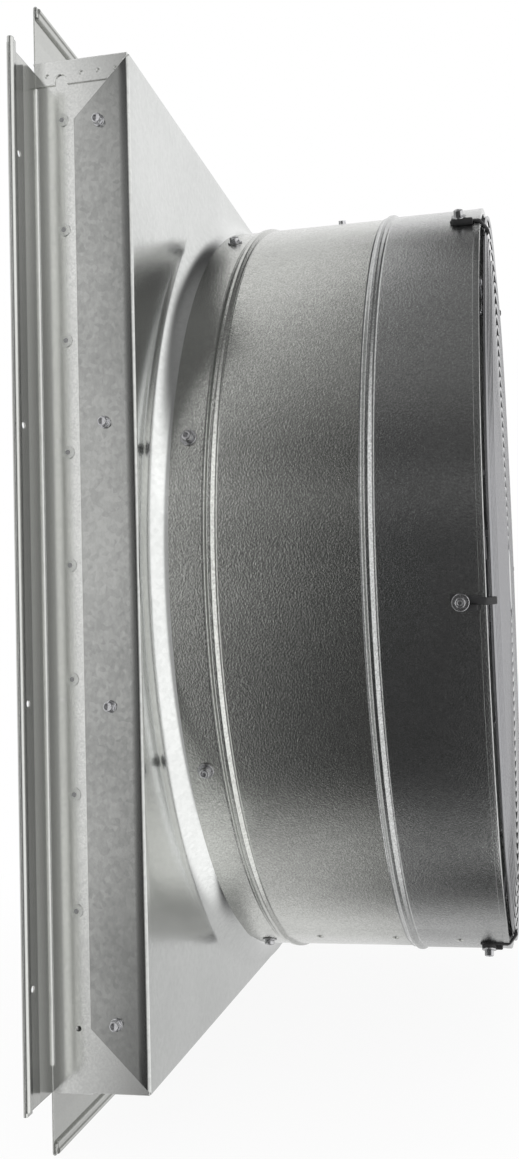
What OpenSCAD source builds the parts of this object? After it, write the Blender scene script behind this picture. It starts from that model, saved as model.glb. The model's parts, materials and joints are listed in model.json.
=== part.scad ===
// Whole house fan: a square shutter box with a folded wall flange and eight gravity louvers,
// a bell-mouth panel, a beaded drum, a direct-drive motor with a four-blade propeller and a
// ring guard. Millimetres. +X runs along the fan axis from the shutter to the guard, +Z is up.
// The origin is on the fan axis, in the face of the wall flange that bears on the wall.

/* [Box and wall flange] */
// Outside width and height of the square box
box_side = 840; // [836:1:960]
// Depth of the box from the wall flange to the face of the panel
box_depth = 82; // [76:1:120]
// Thickness of the box's steel sheet
sheet = 1.2; // [0.8:0.1:2]
// Width of the wall flange
flange_w = 50; // [44:1:80]
// Width of the hem folded back along the flange's edge
hem_w = 9; // [6:0.5:12]
// Open gap inside the hem
hem_gap = 1.2; // [0.8:0.1:2]
// Length taken off the top end of each side flange
flange_relief = 8; // [4:1:12]
// Distance of the wall screw holes from the side of the box
wall_hole_out = 32; // [26:1:34]
// Distance between the wall screw holes along a flange
wall_hole_pitch = 220; // [160:5:240]
// Radius of a wall screw hole
wall_hole_r = 2.75; // [2:0.25:4]
// Height of the corner tabs
tab_h = 20; // [16:1:26]
// Distance between the small holes in a corner tab
tab_hole_pitch = 15; // [12:0.5:17]

/* [Bell-mouth panel] */
// Radius of the fillet between the panel and its neck
fillet_r = 16; // [10:1:17]
// Length of the neck that the drum slides over, from the end of the fillet
neck_len = 27; // [24:1:30]
// Width of the lips that fold back over the box
lip_w = 48.5; // [44:0.5:50]
// How far the lips stop short of the box's corners
lip_short = 2; // [1:0.5:6]
// Distance of the lip screws from the face of the panel
lip_screw_in = 27; // [20:1:32]
// Distance of the end screws of a lip from its middle
lip_screw_end = 365.6; // [300:0.2:368]
// Distance of the inner screws of a lip from its middle
lip_screw_mid = 115; // [60:1:200]

/* [Drum] */
// Outside radius of the drum
drum_r = 397.4; // [380:0.2:398]
// Thickness of the drum's steel sheet
drum_sheet = 1.2; // [0.8:0.1:1.6]
// Distance of the first bead from the drum's collar edge
bead_1_in = 35; // [33:0.5:42]
// Length of the drum's first section, from its collar edge to the second bead
drum_len = 165.5; // [150:0.5:200]
// Length of the drum's second section, from the second bead to the rim
extension_len = 92; // [80:0.5:130]
// Radius of a bead's round
bead_r = 3.5; // [3:0.1:4]
// Height of a bead above the drum
bead_h = 2.3; // [1.8:0.1:2.6]
// Radius of the rim where it rolls inwards
rim_roll_r = 2.9; // [2.4:0.1:5]
// How far the two drum sections lap
drum_lap = 14; // [10:1:20]
// Angle of the lower edge of the drum's lap seam, from the near side
seam_angle = -64.7; // [-64.7:0.1:-60]
// Width of the lap seam
seam_w = 12; // [8:1:16]
// Distance of the collar bolts from the collar edge
collar_bolt_in = 15; // [12:0.5:18]
// Angle of the uppermost collar bolt of the near half
collar_bolt_top = 56.7; // [55:0.1:58]
// Angle between the collar bolts of one half
collar_bolt_pitch = 41.3; // [40.6:0.1:42]

/* [Louvers] */
// Number of louvers
louver_count = 8; // [4:1:8]
// Distance of the first pivot from the box's top, and of the spare hole from its bottom
louver_in = 50; // [48:0.5:100]
// How far a louver laps over the one below it
louver_lap = 4; // [3:0.5:6]
// Distance of the louver pivots behind the wall flange
pivot_in = 22.8; // [20:0.2:26]
// Radius of a louver's hinge rod
rod_r = 2; // [1.5:0.1:2.5]
// Thickness of a louver's sheet
louver_sheet = 0.8; // [0.6:0.1:1]
// How far a louver's lower edge stands out from its pivot line
louver_kick = 5; // [4.6:0.1:6]
// Length of the arm on each louver that the tie bar hangs from
arm_len = 24; // [20:1:30]
// Radius of a tie bar pin
pin_r = 1.6; // [1.2:0.1:2]

/* [Propeller] */
// Number of blades
blade_count = 4; // [3:1:5]
// Gap between the propeller's tips and the neck that they turn in
tip_gap = 13.9; // [12:0.1:40]
// Distance of the propeller's middle from the collar edge
blade_in = 64.5; // [60:0.5:66]
// Thickness of a blade
blade_sheet = 1.8; // [1.2:0.1:2.4]
// Chord of a blade at its root
root_chord = 110; // [80:5:110]
// Chord of a blade at its tip
tip_chord = 190; // [140:5:190]
// Radius of the hub's boss
hub_r = 24; // [18:1:30]
// Length of the hub's boss
hub_len = 44; // [36:1:46]

/* [Motor] */
// Radius of the motor's shell
motor_r = 78; // [76:1:84]
// Thickness of the shell's sheet
shell_sheet = 1.4; // [1:0.1:2]
// Length of the shell between the end bells
shell_len = 90; // [86:1:100]
// Radius of the motor's shaft
shaft_r = 7.94; // [6.35:0.01:9.5]
// Outside radius of the bearings
bearing_r = 17.5; // [15:0.5:19]
// Width of the bearings
bearing_w = 12; // [8:1:12]
// Radius of the air gap's inner side, which is the rotor's
rotor_r = 46.5; // [40:0.5:48]
// Radius of the circle of the motor's through bolts
through_bolt_ring = 71.5; // [71:0.1:71.8]
// Distance of the motor rails from the collar edge
rail_in = 115.5; // [112:0.5:117]
// Thickness of the motor rails
rail_t = 3; // [2:0.5:4]
// Width of a motor rail
rail_w = 28; // [26:1:30]
// Distance of the middle of each rail from the fan axis
rail_off = 60; // [59:0.5:62]
// How far the drum and its motor rails are turned about the fan axis
rail_turn = 10; // [9:0.5:11]

/* [Guard] */
// Distance of the guard's outer ring inside the drum's outer surface
guard_in = 9.1; // [8.9:0.1:11]
// Distance between the guard's rings
ring_pitch = 11; // [8:0.5:14]
// Radius of the ring wire
ring_wire_r = 1.25; // [1:0.05:1.5]
// Radius of the outer ring's wire
edge_wire_r = 1.6; // [1.4:0.1:2]
// Radius of the radial wires
spoke_wire_r = 2; // [1.5:0.1:2.5]
// Distance of the outer ring outside the rim
guard_out = 3.6; // [3.4:0.1:6]
// Rise of the guard's dished edge
dish_rise = 3.5; // [2:0.5:12]
// Further rise from the dished edge to the middle
dome_rise = 2; // [1:0.5:15]
// Number of radial wires
spoke_count = 12; // [6:6:12]
// Radius of the guard's centre plate
centre_plate_r = 34; // [28:1:40]
// Number of guard clips
clip_count = 6; // [3:1:6]
// Angle of the near clip
clip_first = -5.9; // [-7:0.1:-5.9]
// Width of a guard clip
clip_w = 14; // [10:1:14]

/* [Wiring] */
// Width of the junction box across the rails
junction_w = 110; // [104:1:116]
// Height of the junction box along the rails
junction_h = 80; // [60:1:90]
// Depth of the junction box
junction_d = 42; // [38:1:44]
// Distance of the junction box's near end from the fan axis
junction_from_axis = 145; // [140:1:170]
// Radius of the hole through the cable bushing
cable_r = 8; // [6:0.5:8]
// Radius of the motor lead's conduit
lead_r = 4.5; // [3.5:0.1:5]
// Radius of the capacitor
capacitor_r = 19; // [15:0.5:22]
// Length of the capacitor
capacitor_len = 64; // [50:1:70]

/* [Hidden] */
eps = 0.01;
join_turn = 1;
through = 30;
running_gap = 0.05;
slip_gap = 0.1;
hang_gap = 0.3;
weld_in = 0.3;

half = box_side / 2;
hem_r = sheet + hem_gap / 2;
hem_y = -half - flange_w + hem_r;

// Box and lips
lip_gap = 0.5;
lip_end = half - lip_short;
lip_screws = [-lip_screw_end, -lip_screw_mid, lip_screw_mid, lip_screw_end];
screw_shank_r = 2.1;
screw_washer_r = 5.2;
screw_washer_t = 1;
screw_hex_r = 4.5;
screw_hex_h = 4;
screw_reach = 12;
tab_hole_r = 1.7;
tab_hole_first = 11;
tab_hole_count = 5;
tab_hole_left_out = 1;
tab_hole_down = 12;
notch_r = 5.4;
notch_up = 3.1;

// Louvers
louver_pitch = (box_side - 2 * louver_in) / louver_count;
rows = [for (k = [0:louver_count]) (louver_count / 2 - k) * louver_pitch];
louver_curl_r = rod_r + louver_sheet;
louver_end_gap = 5;
louver_half_w = half - sheet - louver_end_gap;
louver_drop = louver_pitch + louver_lap;
louver_hem_r = 1.5;
louver_rib_r = 2.4;
louver_rib_in = 1.5;
louver_open = 70;
bushing_r = rod_r + 1.5;
bushing_flange_r = bushing_r + 2;
bushing_flange_t = 0.8;
bushing_in = 2.5;
spare_hole_r = 2.2;
stop_gap = 0.8;
stop_foot = 18;
stop_lap = 4;
arm_t = 1.5;
arm_end_r = 4;
arm_root_r = louver_curl_r + louver_sheet;
tie_bar_t = 2;
tie_bar_w = 8;
tie_bar_over = 10;
pin_head_r = 3;
pin_head_t = 1;
bar_slot_gap = 2;
bar_slot_over = 4;

// Drum
collar_x = box_depth + fillet_r + 0.5;
drum_in_r = drum_r - drum_sheet;
neck_r = drum_in_r - slip_gap;
neck_end = collar_x + neck_len;
bell_r = neck_r + fillet_r;
bead_1_x = collar_x + bead_1_in;
bead_2_x = collar_x + drum_len;
rim_x = bead_2_x + extension_len;
extension_r = drum_r + slip_gap + drum_sheet;
lap_ahead = 3;
extension_start = bead_2_x - bead_r - lap_ahead;
roll_x = rim_x - rim_roll_r;
roll_y = extension_r - rim_roll_r;
bolt_x = collar_x + collar_bolt_in;
half_bolts = 4;
bolt_angles = [for (h = [0, 180], k = [0:half_bolts - 1]) h + collar_bolt_top - k * collar_bolt_pitch];
bolt_shank_r = 3;
bolt_washer_r = 7.1;
bolt_washer_t = 1.4;
bolt_head_r = 4.8;
bolt_head_h = 4.6;
bolt_socket_r = 2.1;
nut_r = 5.6;
nut_t = 5;
rivet_r = 2.4;
rivet_head_r = 3.6;
rivet_head_t = 1.2;
seam_sweep = seam_w / drum_r * 180 / PI;
rivet_after_collar = 72;
rivet_before_bead = 18;
rivet_before_rim = 47;
rivet_xs = [collar_x + rivet_after_collar, bead_2_x - rivet_before_bead, rim_x - rivet_before_rim];

// Motor rails, plate and motor
rail_x = collar_x + rail_in;
rail_lip = 11;
rail_foot = 14;
rail_reach = drum_in_r - slip_gap;
rail_bolt_x = rail_x - rail_foot / 2;
rail_bolt_r = 2.5;
rail_bolt_head_r = 3.8;
rail_bolt_head_h = 4;
rail_bolt_lean = asin(rail_off / drum_r);
rail_nut_r = 4.6;
rail_nut_gap = 0.2;
bolt_over = 1;
plate_x = rail_x + rail_t;
plate_t = 3;
plate_r = 92;
plate_half_w = rail_off + rail_w / 2 - rail_t;
bell_x = plate_x + plate_t;
bell_d = 12;
bell_wall = 4;
bell_lip = 4;
shell_x = bell_x + bell_d;
shell_end = shell_x + shell_len;
back_x = shell_end + bell_d + bell_wall;
boss_r = bearing_r + 6.5;
boss_out = 12;
boss_front = bell_x - boss_out;
boss_wall = 4;
front_bearing_x = boss_front + boss_wall;
rear_bearing_x = back_x - bearing_w;
shell_in_r = motor_r - shell_sheet;
bell_in_r = shell_in_r - 2;
boss_in = 6;
shaft_hole_r = shaft_r + 1.5;
stator_len = 54;
stator_x = (shell_x + shell_end - stator_len) / 2;
coil_len = 10;
coil_in = 52;
coil_out = 66;
air_gap = 0.5;
through_bolt_r = 2.5;
plate_hole_r = boss_r + 1;
through_angles = [45, 135, 225, 315];

// Propeller
blade_tip_r = neck_r - sheet - tip_gap;
blade_x = collar_x + blade_in;
blade_root_r = 72;
root_pitch = 34;
tip_pitch = 19;
blade_camber = 7;
blade_steps = 10;
corner_steps = 4;
chord_steps = 8;
tip_corner = 36;
arm_in_r = hub_r - 8;
arm_out_r = 165;
arm_share = 0.34;
arm_plate_t = 3.5;
arm_gap = 0.4;
rivet_rows = [88, 118, 148];
blade_rivet_r = 3;
hub_bore_r = shaft_r + running_gap;
hub_ahead = 4;
hub_x = blade_x - hub_len / 2 + hub_ahead;
shaft_start = hub_x - hub_ahead;
set_screw_x = hub_x + hub_len - 7;
set_screw_r = 2.5;

// Guard
guard_x = rim_x + guard_out;
guard_r = extension_r - guard_in;
knee_r = guard_r - 5 * ring_pitch;
ring_count = floor((guard_r - centre_plate_r - ring_pitch) / ring_pitch) + 1;
spoke_x = guard_x - ring_wire_r - spoke_wire_r + weld_in;
spoke_first = clip_first + 180 / spoke_count;
plate_lap = 14;
spoke_sides = 12;
centre_plate_t = 1.5;
clip_gap = 0.15;
clip_t = 2.4;
clip_leaf_t = 3.2;
clip_bolt_r = 2.5;
clip_screw_in = 20;
clip_screw_x = rim_x - clip_screw_in;
clip_tail = 8;
clip_leaf_out = 13;
clip_washer_t = 1.5;
clip_head_r = 4.4;
clip_head_h = 5.5;
clip_arc_r = rim_roll_r + clip_gap + clip_t / 2;
loop_arc_r = edge_wire_r + clip_gap + clip_t / 2;
clip_dx = guard_x - roll_x;
clip_dr = roll_y - guard_r;
clip_turn = atan2(clip_dr, clip_dx) + asin((clip_arc_r - loop_arc_r) / norm([clip_dx, clip_dr]));
clip_out = extension_r + clip_gap;

// Wiring
junction_x = plate_x;
junction_wall = 1.6;
junction_z = -junction_from_axis - junction_h;
knockout_r = 11.1;
knockout_back = 17.5;
knockout_x = junction_x + junction_d - knockout_back;
knockout_z = -junction_from_axis - junction_h / 2;
bushing_grip = 2;
bushing_collar_t = 2.5;
bushing_collar_w = 2.5;
inlet_angle = 200;
cover_screw_in = 8;
cover_screw_y = junction_w / 2 - cover_screw_in;
lead_top_x = shell_end - 30;
lead_straight = 8;
lead_drop = junction_from_axis - motor_r - 2 * lead_straight;
lead_shift = lead_top_x - knockout_x;
lead_bend = 2 * atan(lead_shift / lead_drop);
lead_bend_r = lead_drop / (2 * sin(lead_bend));
fitting_r = lead_r + 3;
fitting_h = 4;
lead_in = 6;
lead_steps = 8;
lead_sides = 12;
strap_w = 16;
strap_t = 1.4;
capacitor_z = motor_r + capacitor_r + 2;
capacitor_x = shell_x + 8;

round_fn = 96;
small_fn = 32;
wire_fn = 8;

// ---- helpers ----

// Turns a shape built along +Z so that it runs along +X
module along_x() { rotate([0, 90, 0]) children(); }

// Turns a shape built on the near side about the fan axis by an angle measured upwards
module at_angle(a) { rotate([-a, 0, 0]) children(); }

// Places a shape built along +Z so that it points out of the drum at an angle
module radial(x, a) { translate([x, 0, 0]) at_angle(a) rotate([90, 0, 0]) children(); }

// Places a shape built along +Z so that it points out of one of the box's four sides
module on_side(side, x, s) {
    at_angle(90 * side) translate([x, -half, s]) rotate([90, 0, 0]) children();
}

// A tube along +X
module tube_x(x, len, r_out, r_in, fn = round_fn) {
    translate([x, 0, 0]) along_x() difference() {
        cylinder(h = len, r = r_out, $fn = fn);
        translate([0, 0, -eps]) cylinder(h = len + 2 * eps, r = r_in, $fn = fn);
    }
}

// A rod along +X
module rod_x(x, len, r, fn = small_fn) {
    translate([x, 0, 0]) along_x() cylinder(h = len, r = r, $fn = fn);
}

// A wire or conduit of radius r that follows points in the X-Z plane
module swept_wire(path, r, sides) {
    last = len(path) - 1;
    points = [for (i = [0:last])
        let (step = path[min(i + 1, last)] - path[max(i - 1, 0)], u = step / norm(step))
            for (k = [0:sides - 1]) let (a = 360 * k / sides)
                [path[i][0] - r * sin(a) * u[1], r * cos(a), path[i][1] + r * sin(a) * u[0]]];
    polyhedron(points, concat(
        [[for (k = [0:sides - 1]) k]],
        [for (i = [0:last - 1], k = [0:sides - 1]) let (a = i * sides + k, b = i * sides + (k + 1) % sides)
            [a, a + sides, b + sides, b]],
        [[for (k = [0:sides - 1]) last * sides + sides - 1 - k]]));
}

// Everything that is turned with the motor rails
module turned() { rotate([rail_turn, 0, 0]) children(); }

// ---- box ----

// Cross-section of a box side with its wall flange and hem, seen along the side
module rail_section() {
    translate([-sheet, -half]) square([box_depth, sheet]);
    translate([-sheet, hem_y]) square([sheet, -half + sheet - hem_y]);
    translate([hem_gap, hem_y]) square([sheet, hem_w - hem_r]);
    difference() {
        translate([hem_gap / 2, hem_y]) circle(r = hem_r, $fn = small_fn);
        translate([hem_gap / 2, hem_y]) circle(r = hem_gap / 2, $fn = small_fn);
        translate([-hem_r, hem_y]) square([3 * hem_r, 2 * hem_r]);
    }
}

// The wall screw holes of one side
module wall_holes() {
    for (k = [-1.5:1:1.5])
        translate([-through / 2, -half - wall_hole_out, k * wall_hole_pitch])
            along_x() cylinder(h = through, r = wall_hole_r, $fn = small_fn);
}

// The pilot holes of one side's lip screws
module lip_pilots(r) {
    for (s = lip_screws)
        translate([box_depth - lip_screw_in, -half + through / 2, s])
            rotate([90, 0, 0]) cylinder(h = through, r = r, $fn = small_fn);
}

// A corner tab on the near side, drawn in X and Z, with its row of small holes and its notch
module tab_shape() {
    low = half - tab_h;
    difference() {
        translate([0, low]) square([box_depth - sheet, tab_h + sheet]);
        for (k = [0:tab_hole_count - 1])
            if (k != tab_hole_left_out) translate([tab_hole_first + k * tab_hole_pitch, half - tab_hole_down])
                circle(r = tab_hole_r, $fn = small_fn);
        translate([pivot_in, low + notch_up]) circle(r = notch_r, $fn = small_fn);
        translate([pivot_in - notch_r, low - eps]) square([2 * notch_r, notch_up + eps]);
        polygon([[box_depth - lip_w - lip_gap, lip_end - lip_w],
                 [box_depth + lip_gap, lip_end + 2 * lip_gap],
                 [box_depth + lip_gap, lip_end - lip_w]]);
    }
}

module frame_top() {
    color("gainsboro") {
        at_angle(90) difference() {
            union() {
                translate([0, 0, -half]) linear_extrude(box_side) rail_section();
                translate([-sheet, -half, -half - sheet])
                    cube([box_depth, sheet, box_side + 2 * sheet]);
            }
            wall_holes();
            lip_pilots(screw_shank_r);
        }
        for (m = [0, 1]) mirror([0, m, 0]) translate([0, -half, 0])
            rotate([90, 0, 0]) linear_extrude(sheet) difference() {
                tab_shape();
                translate([-through, half]) square([box_depth + 2 * through, through]);
            }
    }
}

module frame_bottom() {
    color("gainsboro") at_angle(-90) difference() {
        translate([0, 0, -half]) linear_extrude(box_side) rail_section();
        for (m = [0, 1]) mirror([0, 0, m]) translate([-through, -half - eps, half - sheet])
            cube([box_depth + 2 * through, through, through]);
        wall_holes();
        lip_pilots(screw_shank_r);
    }
}

// The near side, with a tab folded under the bottom
module frame_side() {
    difference() {
        union() {
            translate([0, 0, -half]) linear_extrude(box_side - sheet) rail_section();
            translate([0, -half, -half - sheet]) cube([box_depth - sheet, tab_h, sheet]);
            translate([0, -half, -half - sheet]) cube([box_depth - sheet, sheet, 2 * sheet]);
        }
        translate([-through / 2, -half - flange_w - through, half - flange_relief])
            cube([through, flange_w + through, through]);
        wall_holes();
        lip_pilots(screw_shank_r);
        for (k = [0:louver_count])
            translate([pivot_in, -half + through / 2, rows[k]]) rotate([90, 0, 0])
                cylinder(h = through, r = k == louver_count ? spare_hole_r : bushing_r, $fn = small_fn);
        translate([box_depth - lip_w - lip_gap, -half - eps, -half - 2 * sheet])
            cube([lip_w + 2 * lip_gap, tab_h + 2 * eps, 2 * sheet]);
    }
}

module frame_near() { color("gainsboro") frame_side(); }
module frame_far() { color("gainsboro") mirror([0, 1, 0]) frame_side(); }

// Closes the space above the top louver and stops its curl
module header_strip() {
    stop_x = pivot_in + louver_curl_r + stop_gap;
    stop_z = rows[0] - stop_lap;
    wide = 2 * (half - sheet - stop_gap);
    bar_slot = arm_t + tie_bar_t + bar_slot_gap;
    color("silver") difference() {
        union() {
            translate([stop_x, -wide / 2, stop_z]) cube([sheet, wide, half - sheet - stop_z]);
            translate([stop_x, -wide / 2, half - 2 * sheet]) cube([stop_foot, wide, sheet]);
        }
        translate([stop_x - eps, -bar_slot, stop_z - eps])
            cube([sheet + 2 * eps, 2 * bar_slot, tie_bar_over + stop_lap + bar_slot_over]);
    }
}

// Closes the space below the bottom louver, which hangs against it
module sill_strip() {
    stop_x = pivot_in - louver_kick + louver_hem_r + stop_gap;
    stop_top = rows[louver_count - 1] - louver_drop + 2 * stop_lap;
    wide = 2 * (half - sheet - stop_gap);
    color("silver") {
        translate([stop_x, -wide / 2, -half + sheet]) cube([sheet, wide, stop_top + half - sheet]);
        translate([stop_x, -wide / 2, -half + sheet]) cube([stop_foot, wide, sheet]);
    }
}

// ---- panel ----

// One lip of the panel with its screw holes, over the near side
module panel_lip() {
    translate([0, -half, 0]) rotate([90, 0, 0]) linear_extrude(sheet) difference() {
        polygon([[box_depth - lip_w, -lip_end + lip_w], [box_depth, -lip_end],
                 [box_depth, lip_end], [box_depth - lip_w, lip_end - lip_w]]);
        for (s = lip_screws) translate([box_depth - lip_screw_in, s])
            circle(r = screw_shank_r, $fn = small_fn);
    }
}

// Cross-section of the bell mouth: a fillet from the panel into the neck
module bell_section() {
    translate([neck_r - sheet, box_depth + fillet_r]) square([sheet, neck_end - box_depth - fillet_r]);
    difference() {
        translate([neck_r - sheet, box_depth - sheet]) square([fillet_r + sheet, fillet_r + sheet]);
        translate([bell_r, box_depth + fillet_r]) circle(r = fillet_r, $fn = round_fn);
        difference() {
            translate([neck_r - sheet - eps, box_depth - sheet - eps])
                square([fillet_r + sheet + eps, fillet_r + sheet + eps]);
            translate([bell_r, box_depth + fillet_r]) circle(r = fillet_r + sheet, $fn = round_fn);
        }
    }
}

// The ring that the drum slides over, joined to the edge of the panel's round hole
module bell_mouth() {
    color("gainsboro") difference() {
        along_x() rotate_extrude($fn = round_fn) bell_section();
        drum_holes(bolt_angles, bolt_x, bolt_shank_r);
    }
}

module venturi_panel() {
    color("gainsboro") {
        difference() {
            union() {
                translate([box_depth - sheet, -half, -half]) cube([sheet, box_side, box_side]);
                for (side = [0:3]) at_angle(90 * side)
                    translate([box_depth - sheet, -half - sheet, -lip_end])
                        cube([sheet, 2 * sheet, 2 * lip_end]);
            }
            translate([box_depth - sheet - eps, 0, 0]) along_x()
                cylinder(h = sheet + 2 * eps, r = bell_r + slip_gap, $fn = round_fn);
        }
        for (side = [0:3]) at_angle(90 * side) difference() {
            panel_lip();
            translate([box_depth - sheet, -half - 2 * sheet, -half]) cube([2 * sheet, 3 * sheet, box_side]);
        }
    }
}

// A self-drilling screw with a hex washer head, seated on a surface at z = 0
module hex_screw(reach) {
    cylinder(h = screw_washer_t, r = screw_washer_r, $fn = small_fn);
    translate([0, 0, screw_washer_t]) cylinder(h = screw_hex_h, r = screw_hex_r, $fn = 6);
    translate([0, 0, -reach]) cylinder(h = reach, r = screw_shank_r, $fn = small_fn);
}

module panel_screws() {
    color("silver") for (side = [0:3], s = lip_screws)
        on_side(side, box_depth - lip_screw_in, s)
            translate([0, 0, sheet]) hex_screw(screw_reach);
}

module pivot_bushings() {
    color("silver") for (m = [0, 1], k = [0:louver_count - 1])
        mirror([0, m, 0]) translate([pivot_in, -half, rows[k]]) rotate([90, 0, 0]) difference() {
            union() {
                cylinder(h = bushing_flange_t, r = bushing_flange_r, $fn = small_fn);
                translate([0, 0, -sheet - bushing_in])
                    cylinder(h = sheet + bushing_in, r = bushing_r, $fn = small_fn);
            }
            translate([0, 0, -through / 2])
                cylinder(h = through, r = rod_r + running_gap, $fn = small_fn);
        }
}

// ---- drum ----

// Cross-section of a drum wall with a bead, radius across and fan axis up
module beaded_wall(r, start, end, bead) {
    bead_y = r + bead_h - bead_r;
    difference() {
        union() {
            translate([r - drum_sheet, start]) square([drum_sheet, end - start]);
            intersection() {
                translate([bead_y, bead]) circle(r = bead_r, $fn = small_fn);
                translate([r - drum_sheet, bead - bead_r]) square([2 * bead_r, 2 * bead_r]);
            }
        }
        translate([bead_y, bead]) circle(r = bead_r - drum_sheet, $fn = small_fn);
    }
}

// The raised strip where the rolled sheet laps itself
module lap_seam(r, start, end) {
    along_x() rotate([0, 0, 270 - seam_angle - seam_sweep])
        rotate_extrude(angle = seam_sweep, $fn = 360)
            translate([r - drum_sheet / 2, start]) square([1.5 * drum_sheet, end - start]);
}

// Clears a drum wall for the bolts that pass through it
module drum_holes(angles, x, r) {
    for (a = angles) radial(x, a) translate([0, 0, drum_r - through])
        cylinder(h = 2 * through, r = r, $fn = small_fn);
}

rail_angles = [for (e = [0, 180], s = [-1, 1]) e + 90 - rail_turn + s * rail_bolt_lean];

module drum() {
    color("silver") difference() {
        union() {
            along_x() rotate_extrude($fn = round_fn)
                beaded_wall(drum_r, collar_x, bead_2_x + drum_lap, bead_1_x);
            lap_seam(drum_r, collar_x, bead_1_x - bead_r);
            lap_seam(drum_r, bead_1_x + bead_r, extension_start - hang_gap);
        }
        drum_holes(bolt_angles, bolt_x, bolt_shank_r);
        drum_holes(rail_angles, rail_bolt_x, rail_bolt_r);
        radial(knockout_x, inlet_angle) translate([0, 0, drum_r - through])
            linear_extrude(2 * through) square(2 * knockout_r, center = true);
    }
}

module drum_extension() {
    clip_angles = [for (k = [0:clip_count - 1]) clip_first + k * 360 / clip_count];
    color("darkgray") difference() {
        union() {
            along_x() rotate_extrude($fn = round_fn) {
                difference() {
                    beaded_wall(extension_r, extension_start, roll_x, bead_2_x);
                    square([drum_r + slip_gap, bead_2_x + drum_lap + hang_gap]);
                }
                intersection() {
                    difference() {
                        translate([roll_y, roll_x]) circle(r = rim_roll_r, $fn = small_fn);
                        translate([roll_y, roll_x]) circle(r = rim_roll_r - drum_sheet, $fn = small_fn);
                    }
                    translate([roll_y, roll_x]) square([rim_roll_r, rim_roll_r]);
                }
            }
            lap_seam(extension_r, bead_2_x + bead_r, roll_x);
        }
        drum_holes(clip_angles, clip_screw_x, clip_bolt_r);
    }
}

// A washered bolt standing on a surface at z = 0, with its nut at a depth below it
module washered_bolt(shank_r, washer_r, washer_t, head_r, head_h, depth) {
    cylinder(h = washer_t, r = washer_r, $fn = small_fn);
    translate([0, 0, washer_t]) difference() {
        cylinder(h = head_h, r = head_r, $fn = small_fn);
        translate([0, 0, head_h / 2]) cylinder(h = head_h, r = bolt_socket_r, $fn = 6);
    }
    translate([0, 0, -depth - nut_t - bolt_over])
        cylinder(h = depth + nut_t + bolt_over, r = shank_r, $fn = small_fn);
    translate([0, 0, -depth - nut_t]) cylinder(h = nut_t, r = nut_r, $fn = 6);
}

module collar_bolts() {
    color("silver") for (a = bolt_angles) radial(bolt_x, a) translate([0, 0, drum_r])
        washered_bolt(bolt_shank_r, bolt_washer_r, bolt_washer_t, bolt_head_r, bolt_head_h,
                      drum_r - neck_r + sheet);
}

module seam_rivets() {
    color("silver") for (x = rivet_xs)
        radial(x, seam_angle + seam_sweep / 2)
            translate([0, 0, (x > bead_2_x ? extension_r : drum_r) + drum_sheet])
                cylinder(h = rivet_head_t, r1 = rivet_head_r, r2 = rivet_r, $fn = small_fn);
}

// ---- motor rails and motor ----

module motor_rails() {
    color("silver") turned() for (m = [0, 1]) mirror([0, m, 0]) difference() {
        union() {
            intersection() {
                rod_x(rail_x, rail_t, rail_reach, round_fn);
                translate([rail_x - 1, rail_off - rail_w / 2, -rail_reach])
                    cube([rail_t + 2, rail_w, 2 * rail_reach]);
            }
            intersection() {
                tube_x(rail_x - rail_foot, rail_foot + rail_t, rail_reach, rail_reach - rail_t);
                translate([rail_x - rail_foot - 1, rail_off - rail_w / 2, -rail_reach])
                    cube([rail_foot + rail_t + 2, rail_w, 2 * rail_reach]);
            }
            intersection() {
                rod_x(rail_x - rail_lip, rail_t + rail_lip, rail_reach - rail_foot, round_fn);
                translate([rail_x - rail_lip, rail_off + rail_w / 2 - rail_t, -rail_reach])
                    cube([rail_t + rail_lip, rail_t, 2 * rail_reach]);
            }
        }
        for (e = [-1, 1]) rotate([e * (90 - rail_bolt_lean), 0, 0])
            translate([rail_bolt_x, 0, 0]) rotate([-90, 0, 0]) translate([0, 0, rail_reach - through])
                cylinder(h = 2 * through, r = rail_bolt_r, $fn = small_fn);
        for (a = through_angles) rotate([a, 0, 0]) translate([rail_x - through, 0, through_bolt_ring])
            along_x() cylinder(h = 2 * through, r = through_bolt_r, $fn = small_fn);
    }
}

module motor_plate() {
    color("silver") turned() difference() {
        intersection() {
            rod_x(plate_x, plate_t, plate_r, round_fn);
            translate([plate_x - 1, -plate_half_w, -plate_r])
                cube([plate_t + 2, 2 * plate_half_w, 2 * plate_r]);
        }
        rod_x(plate_x - 1, plate_t + 2, plate_hole_r, round_fn);
        for (a = through_angles) rotate([a, 0, 0]) translate([plate_x - 1, 0, through_bolt_ring])
            along_x() cylinder(h = plate_t + 2, r = through_bolt_r, $fn = small_fn);
    }
}

module rail_bolts() {
    color("silver") for (a = rail_angles) radial(rail_bolt_x, a) {
        translate([0, 0, drum_r]) cylinder(h = rail_bolt_head_h, r = rail_bolt_head_r, $fn = small_fn);
        translate([0, 0, rail_reach - rail_t - nut_t - bolt_over])
            cylinder(h = drum_r - rail_reach + rail_t + nut_t + bolt_over, r = rail_bolt_r, $fn = small_fn);
        translate([0, 0, rail_reach - rail_t - nut_t - rail_nut_gap])
            cylinder(h = nut_t, r = rail_nut_r, $fn = 6);
    }
}

// Holes for the through bolts along the motor
module through_bolt_holes(x, len, r) {
    for (a = through_angles) rotate([a, 0, 0]) translate([x, 0, through_bolt_ring])
        along_x() cylinder(h = len, r = r, $fn = small_fn);
}

module motor_shell() {
    vent = [12, 3.2, 8];
    vent_pitch = 20;
    color("dimgray") turned() difference() {
        tube_x(shell_x, shell_len, motor_r, shell_in_r);
        for (side = [-1, 1], k = [-2:2]) rotate([side * 90 + k * vent_pitch, 0, 0])
            translate([shell_end - bell_lip - vent[0] - 3, -vent[1] / 2, motor_r - vent[2] / 2]) cube(vent);
    }
}

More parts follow.
